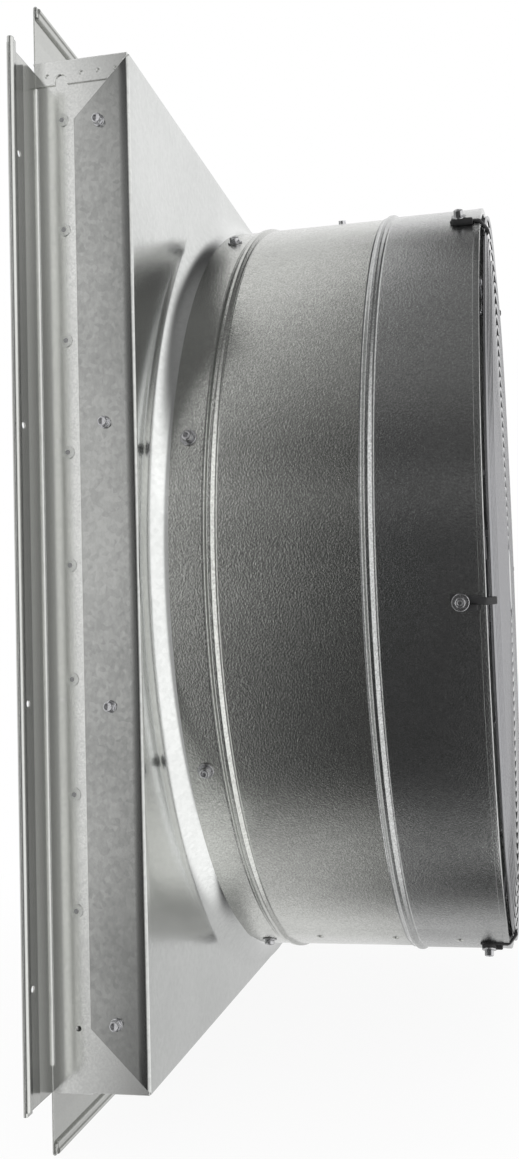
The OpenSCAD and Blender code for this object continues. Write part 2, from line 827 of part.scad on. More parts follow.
// One end bell: a cup with a flat end, a skirt, a lip inside the shell and a boss with a pocket
// for the bearing; boss and pocket each run from one place on the axis to another
module end_bell(flat_x, skirt_x, lip_x, boss, pocket) {
    difference() {
        union() {
            rod_x(flat_x, bell_wall, motor_r, round_fn);
            tube_x(skirt_x, bell_d, motor_r, bell_in_r);
            tube_x(lip_x, bell_lip, shell_in_r, bell_in_r);
            rod_x(boss[0], boss[1] - boss[0], boss_r, round_fn);
        }
        rod_x(pocket[0], pocket[1] - pocket[0], bearing_r, round_fn);
        through_bolt_holes(flat_x - through, 2 * through + bell_d, through_bolt_r);
    }
}

module motor_front_bell() {
    boss = [boss_front, shell_x + bell_lip];
    color("gray") turned() difference() {
        end_bell(bell_x, bell_x, shell_x, boss, [front_bearing_x, boss[1] + 1]);
        rod_x(boss_front - 1, boss_wall + 2, shaft_hole_r, small_fn);
    }
}

module motor_rear_bell() {
    boss = [rear_bearing_x - boss_in, back_x + boss_wall];
    color("gray") turned()
        end_bell(shell_end + bell_d, shell_end, shell_end - bell_lip, boss, [boss[0] - 1, back_x]);
}

module stator_core() {
    color("lightslategray") turned() difference() {
        tube_x(stator_x, stator_len, shell_in_r, rotor_r + air_gap);
        through_bolt_holes(stator_x - 1, stator_len + 2, through_bolt_r + hang_gap);
    }
}

module stator_windings() {
    color("peru") turned() for (x = [stator_x - coil_len, stator_x + stator_len])
        tube_x(x, coil_len, coil_out, coil_in);
}

// A ball bearing as one closed ring
module bearing(x) {
    tube_x(x, bearing_w, bearing_r, shaft_r + running_gap);
}

module front_bearing() { color("lightgray") bearing(front_bearing_x); }
module rear_bearing() { color("lightgray") bearing(rear_bearing_x); }

module through_bolts() {
    nut_h = 4.5;
    head_h = 3.5;
    over = 2;
    color("silver") turned() for (a = through_angles) rotate([a, 0, 0]) {
        translate([rail_x - nut_h - over, 0, through_bolt_ring]) along_x()
            cylinder(h = back_x - rail_x + nut_h + over, r = through_bolt_r, $fn = small_fn);
        translate([rail_x - nut_h, 0, through_bolt_ring]) along_x()
            cylinder(h = nut_h, r = rail_nut_r, $fn = 6);
        translate([back_x, 0, through_bolt_ring]) along_x()
            cylinder(h = head_h, r = rail_nut_r, $fn = 6);
    }
}

module capacitor() {
    terminal = [6, 5, 1];
    terminal_off = 7;
    color("lightgray") turned() translate([capacitor_x, 0, capacitor_z]) {
        rod_x(0, capacitor_len, capacitor_r, 64);
        for (y = [-1, 1]) translate([capacitor_len, y * terminal_off, 0] - [0, terminal[1], terminal[2]] / 2)
            cube(terminal);
    }
}

module capacitor_strap() {
    strap_x = capacitor_x + (capacitor_len - strap_w) / 2;
    saddle_w = 14;
    color("silver") turned() {
        translate([0, 0, capacitor_z]) tube_x(strap_x, strap_w, capacitor_r + strap_t, capacitor_r, 64);
        difference() {
            translate([strap_x, -saddle_w / 2, motor_r - 1])
                cube([strap_w, saddle_w, capacitor_z - capacitor_r - motor_r + 1]);
            rod_x(strap_x - 1, strap_w + 2, motor_r, round_fn);
            translate([0, 0, capacitor_z]) rod_x(strap_x - 1, strap_w + 2, capacitor_r + strap_t / 2, 64);
        }
    }
}

// ---- wiring ----

module junction_box() {
    inner = [junction_d - junction_wall, junction_w - 2 * junction_wall, junction_h - 2 * junction_wall];
    color("silver") turned() difference() {
        translate([junction_x, -junction_w / 2, junction_z]) cube([junction_d, junction_w, junction_h]);
        translate([junction_x + junction_wall, -inner[1] / 2, junction_z + junction_wall])
            cube([inner[0] + 1, inner[1], inner[2]]);
        translate([knockout_x, 0, knockout_z]) rotate([-90, 0, 0])
            cylinder(h = junction_w, r = knockout_r, $fn = small_fn);
        translate([knockout_x, 0, -junction_from_axis - through / 2])
            cylinder(h = through, r = lead_r + slip_gap, $fn = small_fn);
    }
}

module junction_cover() {
    color("silver") turned() difference() {
        translate([junction_x + junction_d, -junction_w / 2, junction_z])
            cube([junction_wall, junction_w, junction_h]);
        for (y = [-1, 1]) translate([junction_x, y * cover_screw_y, knockout_z])
            along_x() cylinder(h = junction_d + through, r = screw_shank_r, $fn = small_fn);
    }
}

module cover_screws() {
    head_r = 3.8;
    head_h = 2;
    reach = 10;
    color("gray") turned() for (y = [-1, 1])
        translate([junction_x + junction_d + junction_wall, y * cover_screw_y, knockout_z])
            along_x() {
                cylinder(h = head_h, r = head_r, $fn = small_fn);
                translate([0, 0, -reach]) cylinder(h = reach, r = screw_shank_r, $fn = small_fn);
            }
}

// A snap-in bushing, with the hole's outline as its child, that lines a hole through a wall at z = 0
module snap_bushing(wall) {
    difference() {
        union() {
            linear_extrude(bushing_collar_t) offset(delta = bushing_collar_w) children();
            translate([0, 0, -wall - bushing_grip])
                linear_extrude(wall + bushing_grip + eps) children();
        }
        translate([0, 0, -through / 2]) cylinder(h = through, r = cable_r, $fn = small_fn);
    }
}

// A square bushing in the drum's far side, where the supply cable enters, and a round one in the box
module cable_bushings() {
    color("black") {
        radial(knockout_x, inlet_angle) translate([0, 0, drum_r])
            snap_bushing(drum_sheet) square(2 * knockout_r, center = true);
        turned() translate([knockout_x, junction_w / 2, knockout_z]) rotate([-90, 0, 0])
            snap_bushing(junction_wall) circle(r = knockout_r, $fn = small_fn);
    }
}

// The motor's leads in a short conduit: straight, two equal bends, straight
module motor_lead() {
    bottom = -junction_from_axis;
    bends = [for (i = [0:lead_steps]) lead_bend * i / lead_steps];
    upper = [for (b = bends)
        [lead_top_x - lead_bend_r * (1 - cos(b)), -motor_r - lead_straight - lead_bend_r * sin(b)]];
    lower = [for (i = [1:lead_steps]) let (b = bends[lead_steps - i])
        [knockout_x + lead_bend_r * (1 - cos(b)), bottom + lead_straight + lead_bend_r * sin(b)]];
    color("dimgray") turned() {
        swept_wire(concat([[lead_top_x, -motor_r]], upper, lower, [[knockout_x, bottom - lead_in]]),
                   lead_r, lead_sides);
        translate([knockout_x, 0, bottom]) cylinder(h = fitting_h, r = fitting_r, $fn = small_fn);
        difference() {
            translate([lead_top_x, 0, -motor_r - fitting_h])
                cylinder(h = fitting_h + 2, r = fitting_r, $fn = small_fn);
            rod_x(lead_top_x - through, 2 * through, motor_r, round_fn);
        }
    }
}

// ---- guard ----

// How far the guard stands out at a radius: a steep dished edge and a gentle dome inside it
function guard_rise(r) = r > knee_r
    ? dish_rise * (guard_r - r) / (guard_r - knee_r)
    : dish_rise + dome_rise * (1 - r / knee_r);

module guard_rings() {
    color("lightgray") {
        for (k = [0:ring_count - 1]) {
            r = guard_r - k * ring_pitch;
            translate([guard_x + guard_rise(r), 0, 0]) along_x() rotate_extrude($fn = round_fn)
                translate([r, 0]) circle(r = k == 0 ? edge_wire_r : ring_wire_r, $fn = wire_fn);
        }
        rod_x(spoke_x + guard_rise(centre_plate_r) + spoke_wire_r - weld_in, centre_plate_t,
              centre_plate_r, round_fn);
    }
}

module guard_spokes() {
    knee_x = spoke_x + guard_rise(knee_r);
    hub_end_r = centre_plate_r - plate_lap;
    hub_end_x = spoke_x + guard_rise(centre_plate_r);
    color("lightgray") for (k = [0:spoke_count - 1]) at_angle(spoke_first + k * 360 / spoke_count)
        rotate([90, 0, 0])
            swept_wire([[hub_end_x, hub_end_r], [knee_x, knee_r], [spoke_x, guard_r]],
                       spoke_wire_r, spoke_sides);
}

// Outline of a guard clip in X and radius: a leaf on the drum, over the rim, round the edge wire
module clip_outline() {
    n = [sin(clip_turn), cos(clip_turn)];
    past = [sin(clip_turn + join_turn), cos(clip_turn + join_turn)];
    roll = [roll_x, roll_y];
    wire = [guard_x, guard_r];
    near_edge = clip_arc_r - clip_t / 2;
    far_edge = clip_arc_r + clip_t / 2;
    translate([clip_screw_x - clip_tail, clip_out])
        square([roll_x - clip_screw_x + clip_tail, clip_t]);
    intersection() {
        difference() {
            translate(roll) circle(r = far_edge, $fn = 64);
            translate(roll) circle(r = near_edge, $fn = 64);
        }
        polygon([roll, roll + [0, 2 * far_edge], roll + 2 * far_edge * past]);
    }
    polygon([roll + near_edge * n, roll + far_edge * n,
             wire + (loop_arc_r + clip_t / 2) * n, wire + (loop_arc_r - clip_t / 2) * n]);
    difference() {
        translate(wire) circle(r = loop_arc_r + clip_t / 2, $fn = small_fn);
        translate(wire) circle(r = loop_arc_r - clip_t / 2, $fn = small_fn);
    }
    translate([clip_screw_x - clip_tail, clip_out + clip_t]) square([clip_tail + clip_leaf_out, clip_leaf_t]);
}

module guard_clips() {
    color("black") for (k = [0:clip_count - 1]) at_angle(clip_first + k * 360 / clip_count)
        difference() {
            linear_extrude(clip_w, center = true) mirror([0, 1]) clip_outline();
            translate([clip_screw_x, 0, 0]) rotate([90, 0, 0])
                cylinder(h = extension_r + through, r = clip_bolt_r, $fn = small_fn);
        }
}

module clip_screws() {
    stack = clip_out + clip_t + clip_leaf_t;
    color("silver") for (k = [0:clip_count - 1])
        radial(clip_screw_x, clip_first + k * 360 / clip_count) translate([0, 0, stack])
            washered_bolt(clip_bolt_r, clip_w / 2, clip_washer_t, clip_head_r, clip_head_h,
                          stack - extension_r + drum_sheet);
}

// ---- propeller ----

// A point of the blade surface at radius r and share u of the chord, moved by off along the axis
function blade_share(r) = (r - blade_root_r) / (blade_tip_r - blade_root_r);
function corner_cut(r) = let (into = max(0, r - blade_tip_r + tip_corner))
    2 * (tip_corner - sqrt(max(0, tip_corner * tip_corner - into * into)));
function blade_chord(r) = root_chord + (tip_chord - root_chord) * max(0, blade_share(r)) - corner_cut(r);
function blade_pitch(r) = root_pitch + (tip_pitch - root_pitch) * max(0, blade_share(r));
function blade_point(r, u, off) =
    let (across = u * blade_chord(r) * cos(blade_pitch(r)) / r * 180 / PI,
         x = blade_x + u * blade_chord(r) * sin(blade_pitch(r)) + blade_camber * (1 - 4 * u * u) + off)
    [x, r * cos(across), r * sin(across)];

// A closed twisted plate through a row of radii, over a share of the chord
module twisted_plate(rows_r, share, low, high) {
    steps = len(rows_r) - 1;
    rows_u = [for (j = [0:chord_steps]) share * (j / chord_steps - 0.5)];
    wide = chord_steps + 1;
    count = (steps + 1) * wide;
    points = [for (off = [low, high], r = rows_r, u = rows_u) blade_point(r, u, off)];
    quads = [for (i = [0:steps - 1], j = [0:chord_steps - 1]) i * wide + j];
    rim_i = concat([for (j = [0:chord_steps]) j],
                   [for (i = [1:steps]) i * wide + chord_steps],
                   [for (j = [1:chord_steps]) steps * wide + chord_steps - j],
                   [for (i = [1:steps - 1]) (steps - i) * wide]);
    n = len(rim_i);
    polyhedron(points, concat(
        [for (q = quads) [q, q + wide, q + 1]],
        [for (q = quads) [q + 1, q + wide, q + wide + 1]],
        [for (q = quads) [count + q, count + q + 1, count + q + wide]],
        [for (q = quads) [count + q + 1, count + q + wide + 1, count + q + wide]],
        [for (k = [0:n - 1]) [rim_i[k], rim_i[(k + 1) % n], count + rim_i[k]]],
        [for (k = [0:n - 1]) [rim_i[(k + 1) % n], count + rim_i[(k + 1) % n], count + rim_i[k]]]));
}

// The rivets' places on one blade, with each rivet's axis square to the blade
module at_blade_rivets() {
    for (r = rivet_rows) translate([blade_x + blade_camber, r, 0])
        rotate([0, 90 + blade_pitch(r), 0]) children();
}

// Clears one blade or arm for its rivets
module rivet_holes() {
    at_blade_rivets() cylinder(h = through, r = blade_rivet_r, center = true, $fn = small_fn);
}

module fan_blades() {
    straight = [for (i = [0:blade_steps])
        blade_root_r + (blade_tip_r - tip_corner - blade_root_r) * i / blade_steps];
    round = [for (i = [1:corner_steps]) blade_tip_r - tip_corner * (1 - sin(90 * i / corner_steps))];
    color("lightgray") for (k = [0:blade_count - 1]) rotate([k * 360 / blade_count, 0, 0])
        difference() {
            twisted_plate(concat(straight, round), 1, -blade_sheet / 2, blade_sheet / 2);
            rivet_holes();
        }
}

module fan_hub() {
    low = blade_sheet / 2 + arm_gap;
    arm_rows = [for (i = [0:blade_steps]) arm_in_r + (arm_out_r - arm_in_r) * i / blade_steps];
    color("gray") difference() {
        union() {
            rod_x(hub_x, hub_len, hub_r, 64);
            for (k = [0:blade_count - 1]) rotate([k * 360 / blade_count, 0, 0]) difference() {
                twisted_plate(arm_rows, arm_share, low, low + arm_plate_t);
                rivet_holes();
            }
        }
        rod_x(hub_x - 1, hub_len + 2, hub_bore_r, small_fn);
        translate([set_screw_x, 0, 0]) cylinder(h = hub_r + through, r = set_screw_r, $fn = small_fn);
    }
}

module blade_rivets() {
    head_t = 1.6;
    head_r = blade_rivet_r + 2;
    low = blade_sheet / 2 + slip_gap;
    high = blade_sheet / 2 + arm_gap + arm_plate_t;
    color("silver") for (k = [0:blade_count - 1]) rotate([k * 360 / blade_count, 0, 0])
        at_blade_rivets() {
            translate([0, 0, -low]) cylinder(h = low + high, r = blade_rivet_r, $fn = small_fn);
            translate([0, 0, -low - head_t]) cylinder(h = head_t, r = head_r, $fn = small_fn);
            translate([0, 0, high]) cylinder(h = head_t, r = head_r, $fn = small_fn);
        }
}

module hub_set_screw() {
    color("black") translate([set_screw_x, 0, shaft_r])
        cylinder(h = hub_r - shaft_r - 1, r = set_screw_r, $fn = small_fn);
}

module rotor_shaft() {
    color("lightgray") rod_x(shaft_start, rear_bearing_x + bearing_w - hang_gap - shaft_start, shaft_r, 64);
}

module rotor_core() {
    color("slategray") tube_x(stator_x, stator_len, rotor_r, shaft_r, round_fn);
}

// ---- louvers ----

// Cross-section of a louver about its pivot: curl, leaf with a rib, hem along the lower edge
module louver_section() {
    leaf = [-louver_curl_r, -louver_kick];
    rib_z = -louver_drop / 2;
    rib_x = (leaf[0] + leaf[1]) / 2 - louver_sheet / 2;
    difference() {
        union() {
            circle(r = louver_curl_r, $fn = small_fn);
            polygon([[-louver_curl_r, 0], [-rod_r, 0],
                     [-louver_kick + louver_sheet / 2, -louver_drop],
                     [-louver_kick - louver_sheet / 2, -louver_drop]]);
            translate([-louver_kick, -louver_drop]) circle(r = louver_hem_r, $fn = small_fn);
            translate([rib_x + louver_rib_in, rib_z]) circle(r = louver_rib_r, $fn = small_fn);
        }
        circle(r = rod_r, $fn = small_fn);
        translate([rib_x + louver_rib_in, rib_z]) circle(r = louver_rib_r - louver_sheet, $fn = small_fn);
        translate([rib_x + louver_sheet + slip_gap, rib_z - 2 * louver_rib_r])
            square([2 * louver_rib_r, 4 * louver_rib_r]);
    }
}

// The arm at the middle of a louver, drawn about its pivot
module arm_shape() {
    difference() {
        union() {
            circle(r = arm_root_r, $fn = small_fn);
            translate([0, -arm_root_r]) square([arm_len, 2 * arm_root_r]);
            translate([arm_len, 0]) circle(r = arm_end_r, $fn = small_fn);
        }
        circle(r = rod_r, $fn = small_fn);
        translate([arm_len, 0]) circle(r = pin_r + slip_gap, $fn = small_fn);
    }
}

module louver(k) {
    color("whitesmoke") translate([pivot_in, 0, rows[k - 1]]) {
        translate([0, louver_half_w, 0]) rotate([90, 0, 0])
            linear_extrude(2 * louver_half_w) louver_section();
        translate([0, tie_bar_t / 2 + hang_gap + arm_t, 0]) rotate([90, 0, 0])
            linear_extrude(arm_t) arm_shape();
    }
}

module louver_rod(k) {
    reach = half + bushing_flange_t;
    color("silver") translate([pivot_in, reach, rows[k - 1]]) rotate([90, 0, 0])
        cylinder(h = 2 * reach, r = rod_r, $fn = small_fn);
}

module tie_bar() {
    top = rows[0] + tie_bar_over;
    bottom = rows[louver_count - 1] - tie_bar_over;
    color("lightgray") difference() {
        translate([pivot_in + arm_len - tie_bar_w / 2, -tie_bar_t / 2, bottom])
            cube([tie_bar_w, tie_bar_t, top - bottom]);
        for (k = [0:louver_count - 1]) translate([pivot_in + arm_len, tie_bar_t, rows[k]])
            rotate([90, 0, 0]) cylinder(h = 2 * tie_bar_t, r = pin_r, $fn = small_fn);
    }
}

module tie_bar_pins() {
    reach = tie_bar_t / 2 + hang_gap + arm_t + hang_gap;
    color("silver") for (k = [0:louver_count - 1]) translate([pivot_in + arm_len, 0, rows[k]])
        rotate([-90, 0, 0]) {
            translate([0, 0, -tie_bar_t / 2 - pin_head_t])
                cylinder(h = pin_head_t, r = pin_head_r, $fn = small_fn);
            translate([0, 0, -tie_bar_t / 2]) cylinder(h = tie_bar_t / 2 + reach, r = pin_r, $fn = small_fn);
            translate([0, 0, reach]) cylinder(h = pin_head_t, r = pin_head_r, $fn = small_fn);
        }
}

frame_top();
frame_bottom();
frame_near();
frame_far();
header_strip();
sill_strip();
venturi_panel();
bell_mouth();
panel_screws();
pivot_bushings();
drum();
drum_extension();
collar_bolts();
seam_rivets();
motor_rails();
motor_plate();
rail_bolts();
motor_shell();
motor_front_bell();
motor_rear_bell();
stator_core();
stator_windings();
front_bearing();
rear_bearing();
through_bolts();
capacitor();
capacitor_strap();
junction_box();
junction_cover();
cover_screws();
cable_bushings();
motor_lead();
guard_rings();
guard_spokes();
guard_clips();
clip_screws();
rotor_shaft();
rotor_core();
fan_hub();
fan_blades();
blade_rivets();
hub_set_screw();
tie_bar();
tie_bar_pins();
for (k = [1:louver_count]) {
    louver(k);
    louver_rod(k);
}
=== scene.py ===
import json
import math
import bpy
import bmesh
import numpy as np
from mathutils import Matrix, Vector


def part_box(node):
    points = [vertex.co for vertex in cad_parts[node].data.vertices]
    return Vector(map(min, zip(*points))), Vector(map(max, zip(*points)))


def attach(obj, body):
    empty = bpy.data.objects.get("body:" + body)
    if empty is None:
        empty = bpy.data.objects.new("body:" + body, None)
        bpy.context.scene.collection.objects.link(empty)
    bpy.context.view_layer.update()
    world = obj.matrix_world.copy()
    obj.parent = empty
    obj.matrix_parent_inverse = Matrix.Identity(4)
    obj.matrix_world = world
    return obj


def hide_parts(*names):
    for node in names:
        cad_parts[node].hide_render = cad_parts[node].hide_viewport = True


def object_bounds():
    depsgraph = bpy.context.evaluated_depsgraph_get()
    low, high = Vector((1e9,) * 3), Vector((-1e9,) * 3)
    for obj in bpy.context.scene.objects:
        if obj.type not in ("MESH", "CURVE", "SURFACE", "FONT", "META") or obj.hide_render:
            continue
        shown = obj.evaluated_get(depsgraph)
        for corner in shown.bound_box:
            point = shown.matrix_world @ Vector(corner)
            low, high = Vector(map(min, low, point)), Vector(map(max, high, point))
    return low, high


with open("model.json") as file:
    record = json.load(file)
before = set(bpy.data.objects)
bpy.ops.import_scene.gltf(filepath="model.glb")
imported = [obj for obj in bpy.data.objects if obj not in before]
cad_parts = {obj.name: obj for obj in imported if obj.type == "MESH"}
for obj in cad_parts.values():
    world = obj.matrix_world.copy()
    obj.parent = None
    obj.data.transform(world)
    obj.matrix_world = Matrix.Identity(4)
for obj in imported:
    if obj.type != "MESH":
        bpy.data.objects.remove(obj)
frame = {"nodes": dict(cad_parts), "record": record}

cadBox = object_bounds()
mm = 0.001


# Lowest and highest corner of a CAD node as arrays
def boxOf(node):
    low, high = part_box(node)
    return np.array(low), np.array(high)


# A new object of some data, put into the scene
def addObject(name, data):
    thing = bpy.data.objects.new(name, data)
    bpy.context.collection.objects.link(thing)
    return thing


panelLow, panelHigh = boxOf("venturi_panel")
bellHigh = boxOf("bell_mouth")[1]
drumLow, drumHigh = boxOf("drum")
rimLow, rimHigh = boxOf("drum_extension")

shot = {
    "eye": (0.39302, -1.25141, -0.07855),
    "yaw": 10.3982, "pitch": 2.777, "roll": 1.729,
    "lens": 33.926, "sensor": 36.0,
    "shift": (-0.06514, 0.01872),
    "clip": (0.05, 60.0),
}


# The camera turns by yaw about Z, then pitch about its right, then roll about its line of sight
def placeCamera():
    data = bpy.data.cameras.new("shotCamera")
    data.lens = shot["lens"]
    data.sensor_fit = "VERTICAL"
    data.sensor_width = data.sensor_height = shot["sensor"]
    data.shift_x, data.shift_y = shot["shift"]
    data.clip_start, data.clip_end = shot["clip"]
    camera = addObject("shotCamera", data)
    turn = (Matrix.Rotation(math.radians(shot["yaw"]), 4, "Z")
            @ Matrix.Rotation(math.radians(shot["pitch"]), 4, "X")
            @ Matrix.Rotation(math.radians(shot["roll"]), 4, "Y")
            @ Matrix.Rotation(math.radians(90), 4, "X"))
    camera.matrix_world = Matrix.Translation(shot["eye"]) @ turn
    bpy.context.scene.camera = camera


# Adds a node with its settings; an input given as a socket is linked, and any other value is set
def addNode(tree, kind, inputs=None, **settings):
    node = tree.nodes.new("ShaderNode" + kind)
    for key, value in settings.items():
        setattr(node, key, value)
    for key, value in (inputs or {}).items():
        if isinstance(value, bpy.types.NodeSocket):
            tree.links.new(value, node.inputs[key])
        else:
            node.inputs[key].default_value = value
    return node


# A math node over one value or two
def calculate(tree, operation, *values):
    return addNode(tree, "Math", dict(enumerate(values)), operation=operation).outputs[0]


# Several values multiplied, added or compared, in pairs from the left
def gather(tree, operation, values):
    total = values[0]
    for value in values[1:]:
        total = calculate(tree, operation, total, value)
    return total


# Rises smoothly from 0 at one value to 1 at another, which may be the lower of the two
def ramp(tree, value, start, end):
    low, high, swapped = min(start, end), max(start, end), float(start > end)
    return addNode(tree, "MapRange", {"Value": value, "From Min": low, "From Max": high,
                                      "To Min": swapped, "To Max": 1.0 - swapped},
                   interpolation_type="SMOOTHSTEP").outputs["Result"]


# Carries a value evenly from one range to another and stops at its ends
def carry(tree, value, source, target):
    return addNode(tree, "MapRange", {"Value": value, "From Min": source[0], "From Max": source[1],
                                      "To Min": target[0], "To Max": target[1]}).outputs["Result"]


# Goes from a first to a second colour by a factor
def blendColours(tree, factor, first, second):
    inputs = {0: factor}
    for number, value in ((6, first), (7, second)):
        inputs[number] = value if isinstance(value, bpy.types.NodeSocket) else (*value, 1)
    return addNode(tree, "Mix", inputs, data_type="RGBA").outputs[2]


studio = {
    "dark": 0.058,     # the unlit room on the camera's side
    "plain": 0.80,     # light that reaches matt surfaces
    "lean": 0.23, "leanAbove": 0.3, "leanUnder": 0.75,     # how the bright wall's edge draws back
    "lamp": {"place": (0.0, 0.4, 2.6), "aim": (0.15, 0.0, 0.0), "size": (2.6, 2.0), "power": 16.0},
}
# Areas that metal mirrors: a level, then the parts of a direction along which the area fades in, each from
# where it is dark to where it is full. Side is minus X, aside is side less the wall's lean, and bearing is
# the angle in degrees from the camera's side
areas = {
    "wall": (0.86, ("aside", 0.055, 0.15)),     # a bright wall past the shutter
    "glow": (0.75, ("side", 0.09, 0.20), ("side", 0.30, 0.22), ("z", -0.88, -0.99)),     # floor by the drum
    "sweep": (0.98, ("y", 0.25, 0.6), ("z", 0.86, 0.72)),     # the white sweep behind the fan
    "softbox": (1.35, ("bearing", -27.0, -40.0), ("bearing", -152.0, -122.0), ("z", 0.80, 0.50)),
    "softboxEdge": (0.40, ("bearing", -5.0, -13.0), ("bearing", -152.0, -122.0), ("z", 0.80, 0.50)),
    "ceiling": (0.18, ("z", 0.50, 0.95), ("y", 0.5, 0.0)),
    "strip": (0.15, ("z", 0.28, 0.36), ("z", 0.48, 0.40), ("y", 0.0, -0.4)),     # a thin row of lights
    "underSweep": (0.35, ("z", -0.02, -0.3)),     # the share that the sweep loses towards the floor
}


# The studio round the fan, by direction. Cameras see white all round. Metal sees the brightest of the main
# areas, with the dark room, the ceiling and the row of lights added to it
def paintWorld():
    world = bpy.data.worlds.new("studio")
    bpy.context.scene.world = world
    world.use_nodes = True
    tree = world.node_tree
    tree.nodes.clear()
    way = addNode(tree, "TexCoord").outputs["Generated"]
    unit = addNode(tree, "VectorMath", {0: way}, operation="NORMALIZE").outputs[0]
    x, y, z = addNode(tree, "SeparateXYZ", {0: unit}).outputs
    side = calculate(tree, "MULTIPLY", x, -1.0)
    rise = calculate(tree, "MAXIMUM", calculate(tree, "MULTIPLY", z, studio["leanAbove"]),
                     calculate(tree, "MULTIPLY", z, -studio["leanUnder"]))
    lean = calculate(tree, "MULTIPLY", calculate(tree, "SUBTRACT", rise, y), studio["lean"])
    aside = calculate(tree, "SUBTRACT", side, calculate(tree, "MAXIMUM", lean, 0.0))
    turn = calculate(tree, "ARCTAN2", side, calculate(tree, "MULTIPLY", y, -1.0))
    parts = {"side": side, "y": y, "z": z, "aside": aside,
             "bearing": calculate(tree, "MULTIPLY", turn, 180 / math.pi)}
    light = {}
    for name, (level, *fades) in areas.items():
        ramps = [ramp(tree, parts[part], start, end) for part, start, end in fades]
        light[name] = gather(tree, "MULTIPLY", [*ramps, level])
    kept = calculate(tree, "SUBTRACT", 1.0, light["underSweep"])
    light["sweep"] = calculate(tree, "MULTIPLY", light["sweep"], kept)
    brightest = [light[name] for name in ("wall", "sweep", "softbox", "softboxEdge", "glow")]
    main = gather(tree, "MAXIMUM", brightest)
    room = gather(tree, "ADD", [main, studio["dark"], light["ceiling"], light["strip"]])
    rays = addNode(tree, "LightPath").outputs
    mirrored = calculate(tree, "MAXIMUM", rays["Is Glossy Ray"], rays["Is Transmission Ray"])
    level = addNode(tree, "Mix", {0: mirrored, 2: studio["plain"], 3: room}, data_type="FLOAT").outputs[0]
    level = addNode(tree, "Mix", {0: rays["Is Camera Ray"], 2: level, 3: 1.0}, data_type="FLOAT").outputs[0]
    backdrop = addNode(tree, "Background", {"Color": (1, 1, 1, 1), "Strength": level})
    tree.links.new(backdrop.outputs[0], addNode(tree, "OutputWorld").inputs[0])


# A soft lamp over the fan that metal doesn't mirror. Its back points away from its aim, and its right and up
# stand square to that
def hangLamp():
    look = studio["lamp"]
    data = bpy.data.lights.new("overhead", "AREA")
    data.shape = "RECTANGLE"
    data.size, data.size_y = look["size"]
    data.energy = look["power"]
    lamp = addObject("overhead", data)
    lamp.visible_glossy = False
    back = np.subtract(look["place"], look["aim"])
    back /= np.linalg.norm(back)
    right = np.cross((0, 0, 1), back)
    right /= np.linalg.norm(right)
    turn = Matrix([list(v) for v in (right, np.cross(back, right), back)]).transposed()
    lamp.matrix_world = Matrix.Translation(look["place"]) @ turn.to_4x4()


paper = {
    "drop": 2 * mm, "size": 30.0, "colour": (0.92, 0.92, 0.92), "rough": 0.9, "shine": 0.1,
    "lift": 0.91, "fade": (0.45, 1.0),     # how white it is under the fan, and where it becomes plain white
}


# The floor keeps a light shadow near the object and fades to plain white further out. Metal sees the
# studio's lower half in its place
def layFloor():
    low = cadBox[0][2] - paper["drop"]
    reach = paper["size"] / 2
    corners = [(-reach, -reach, low), (reach, -reach, low), (reach, reach, low), (-reach, reach, low)]
    mesh = bpy.data.meshes.new("floor")
    mesh.from_pydata(corners, [], [(0, 1, 2, 3)])
    floor = addObject("floor", mesh)
    floor.visible_glossy = False
    material, tree, shader, place = startMaterial("floorPaper", 0.0, paper["rough"])
    shader.inputs["Base Color"].default_value = (*paper["colour"], 1)
    shader.inputs["Specular IOR Level"].default_value = paper["shine"]
    away = addNode(tree, "VectorMath", {0: place}, operation="LENGTH").outputs["Value"]
    fade = addNode(tree, "MapRange", {"Value": away, "From Min": paper["fade"][0],
                                      "From Max": paper["fade"][1], "To Min": paper["lift"]},
                   interpolation_type="SMOOTHSTEP").outputs["Result"]
    white = addNode(tree, "Emission", {"Color": (1, 1, 1, 1), "Strength": 1.0})
    seen = addNode(tree, "LightPath").outputs["Is Camera Ray"]
    joined = addNode(tree, "MixShader", {0: calculate(tree, "MULTIPLY", fade, seen)})
    tree.links.new(shader.outputs[0], joined.inputs[1])
    tree.links.new(white.outputs[0], joined.inputs[2])
    tree.links.new(joined.outputs[0], tree.nodes["Material Output"].inputs[0])
    mesh.materials.append(material)


# A new material with its node tree, its shader and the place on the object
def startMaterial(name, metallic, roughness):
    material = bpy.data.materials.new(name)
    material.use_nodes = True
    tree = material.node_tree
    shader = tree.nodes["Principled BSDF"]
    shader.inputs["Metallic"].default_value = metallic
    shader.inputs["Roughness"].default_value = roughness
    place = addNode(tree, "TexCoord").outputs["Object"]
    return material, tree, shader, place


placeCamera()
paintWorld()
layFloor()
hangLamp()
bpy.context.scene.view_settings.view_transform = "Standard"
print("stage ready")


# Noise from 0 to 1, with a number of finer layers and the share that each of them keeps
def noise(tree, place, scale, detail, roughness=0.5):
    return addNode(tree, "TexNoise", {"Vector": place, "Scale": scale, "Detail": detail,
                                      "Roughness": roughness}).outputs[0]


# A height pattern as bump, over rounded edges and over a second height in metres where these are given
def addRelief(tree, shader, height, strength, depth, edge=0.0, under=None):
    normal = {}
    if edge > 0:
        normal = {"Normal": addNode(tree, "Bevel", {"Radius": edge}, samples=4).outputs[0]}
    if under:
        normal = {"Normal": addNode(tree, "Bump", {"Height": under, "Distance": 1.0, **normal}).outputs[0]}
    relief = addNode(tree, "Bump", {"Height": height, "Strength": strength, "Distance": depth, **normal})
    tree.links.new(relief.outputs[0], shader.inputs["Normal"])


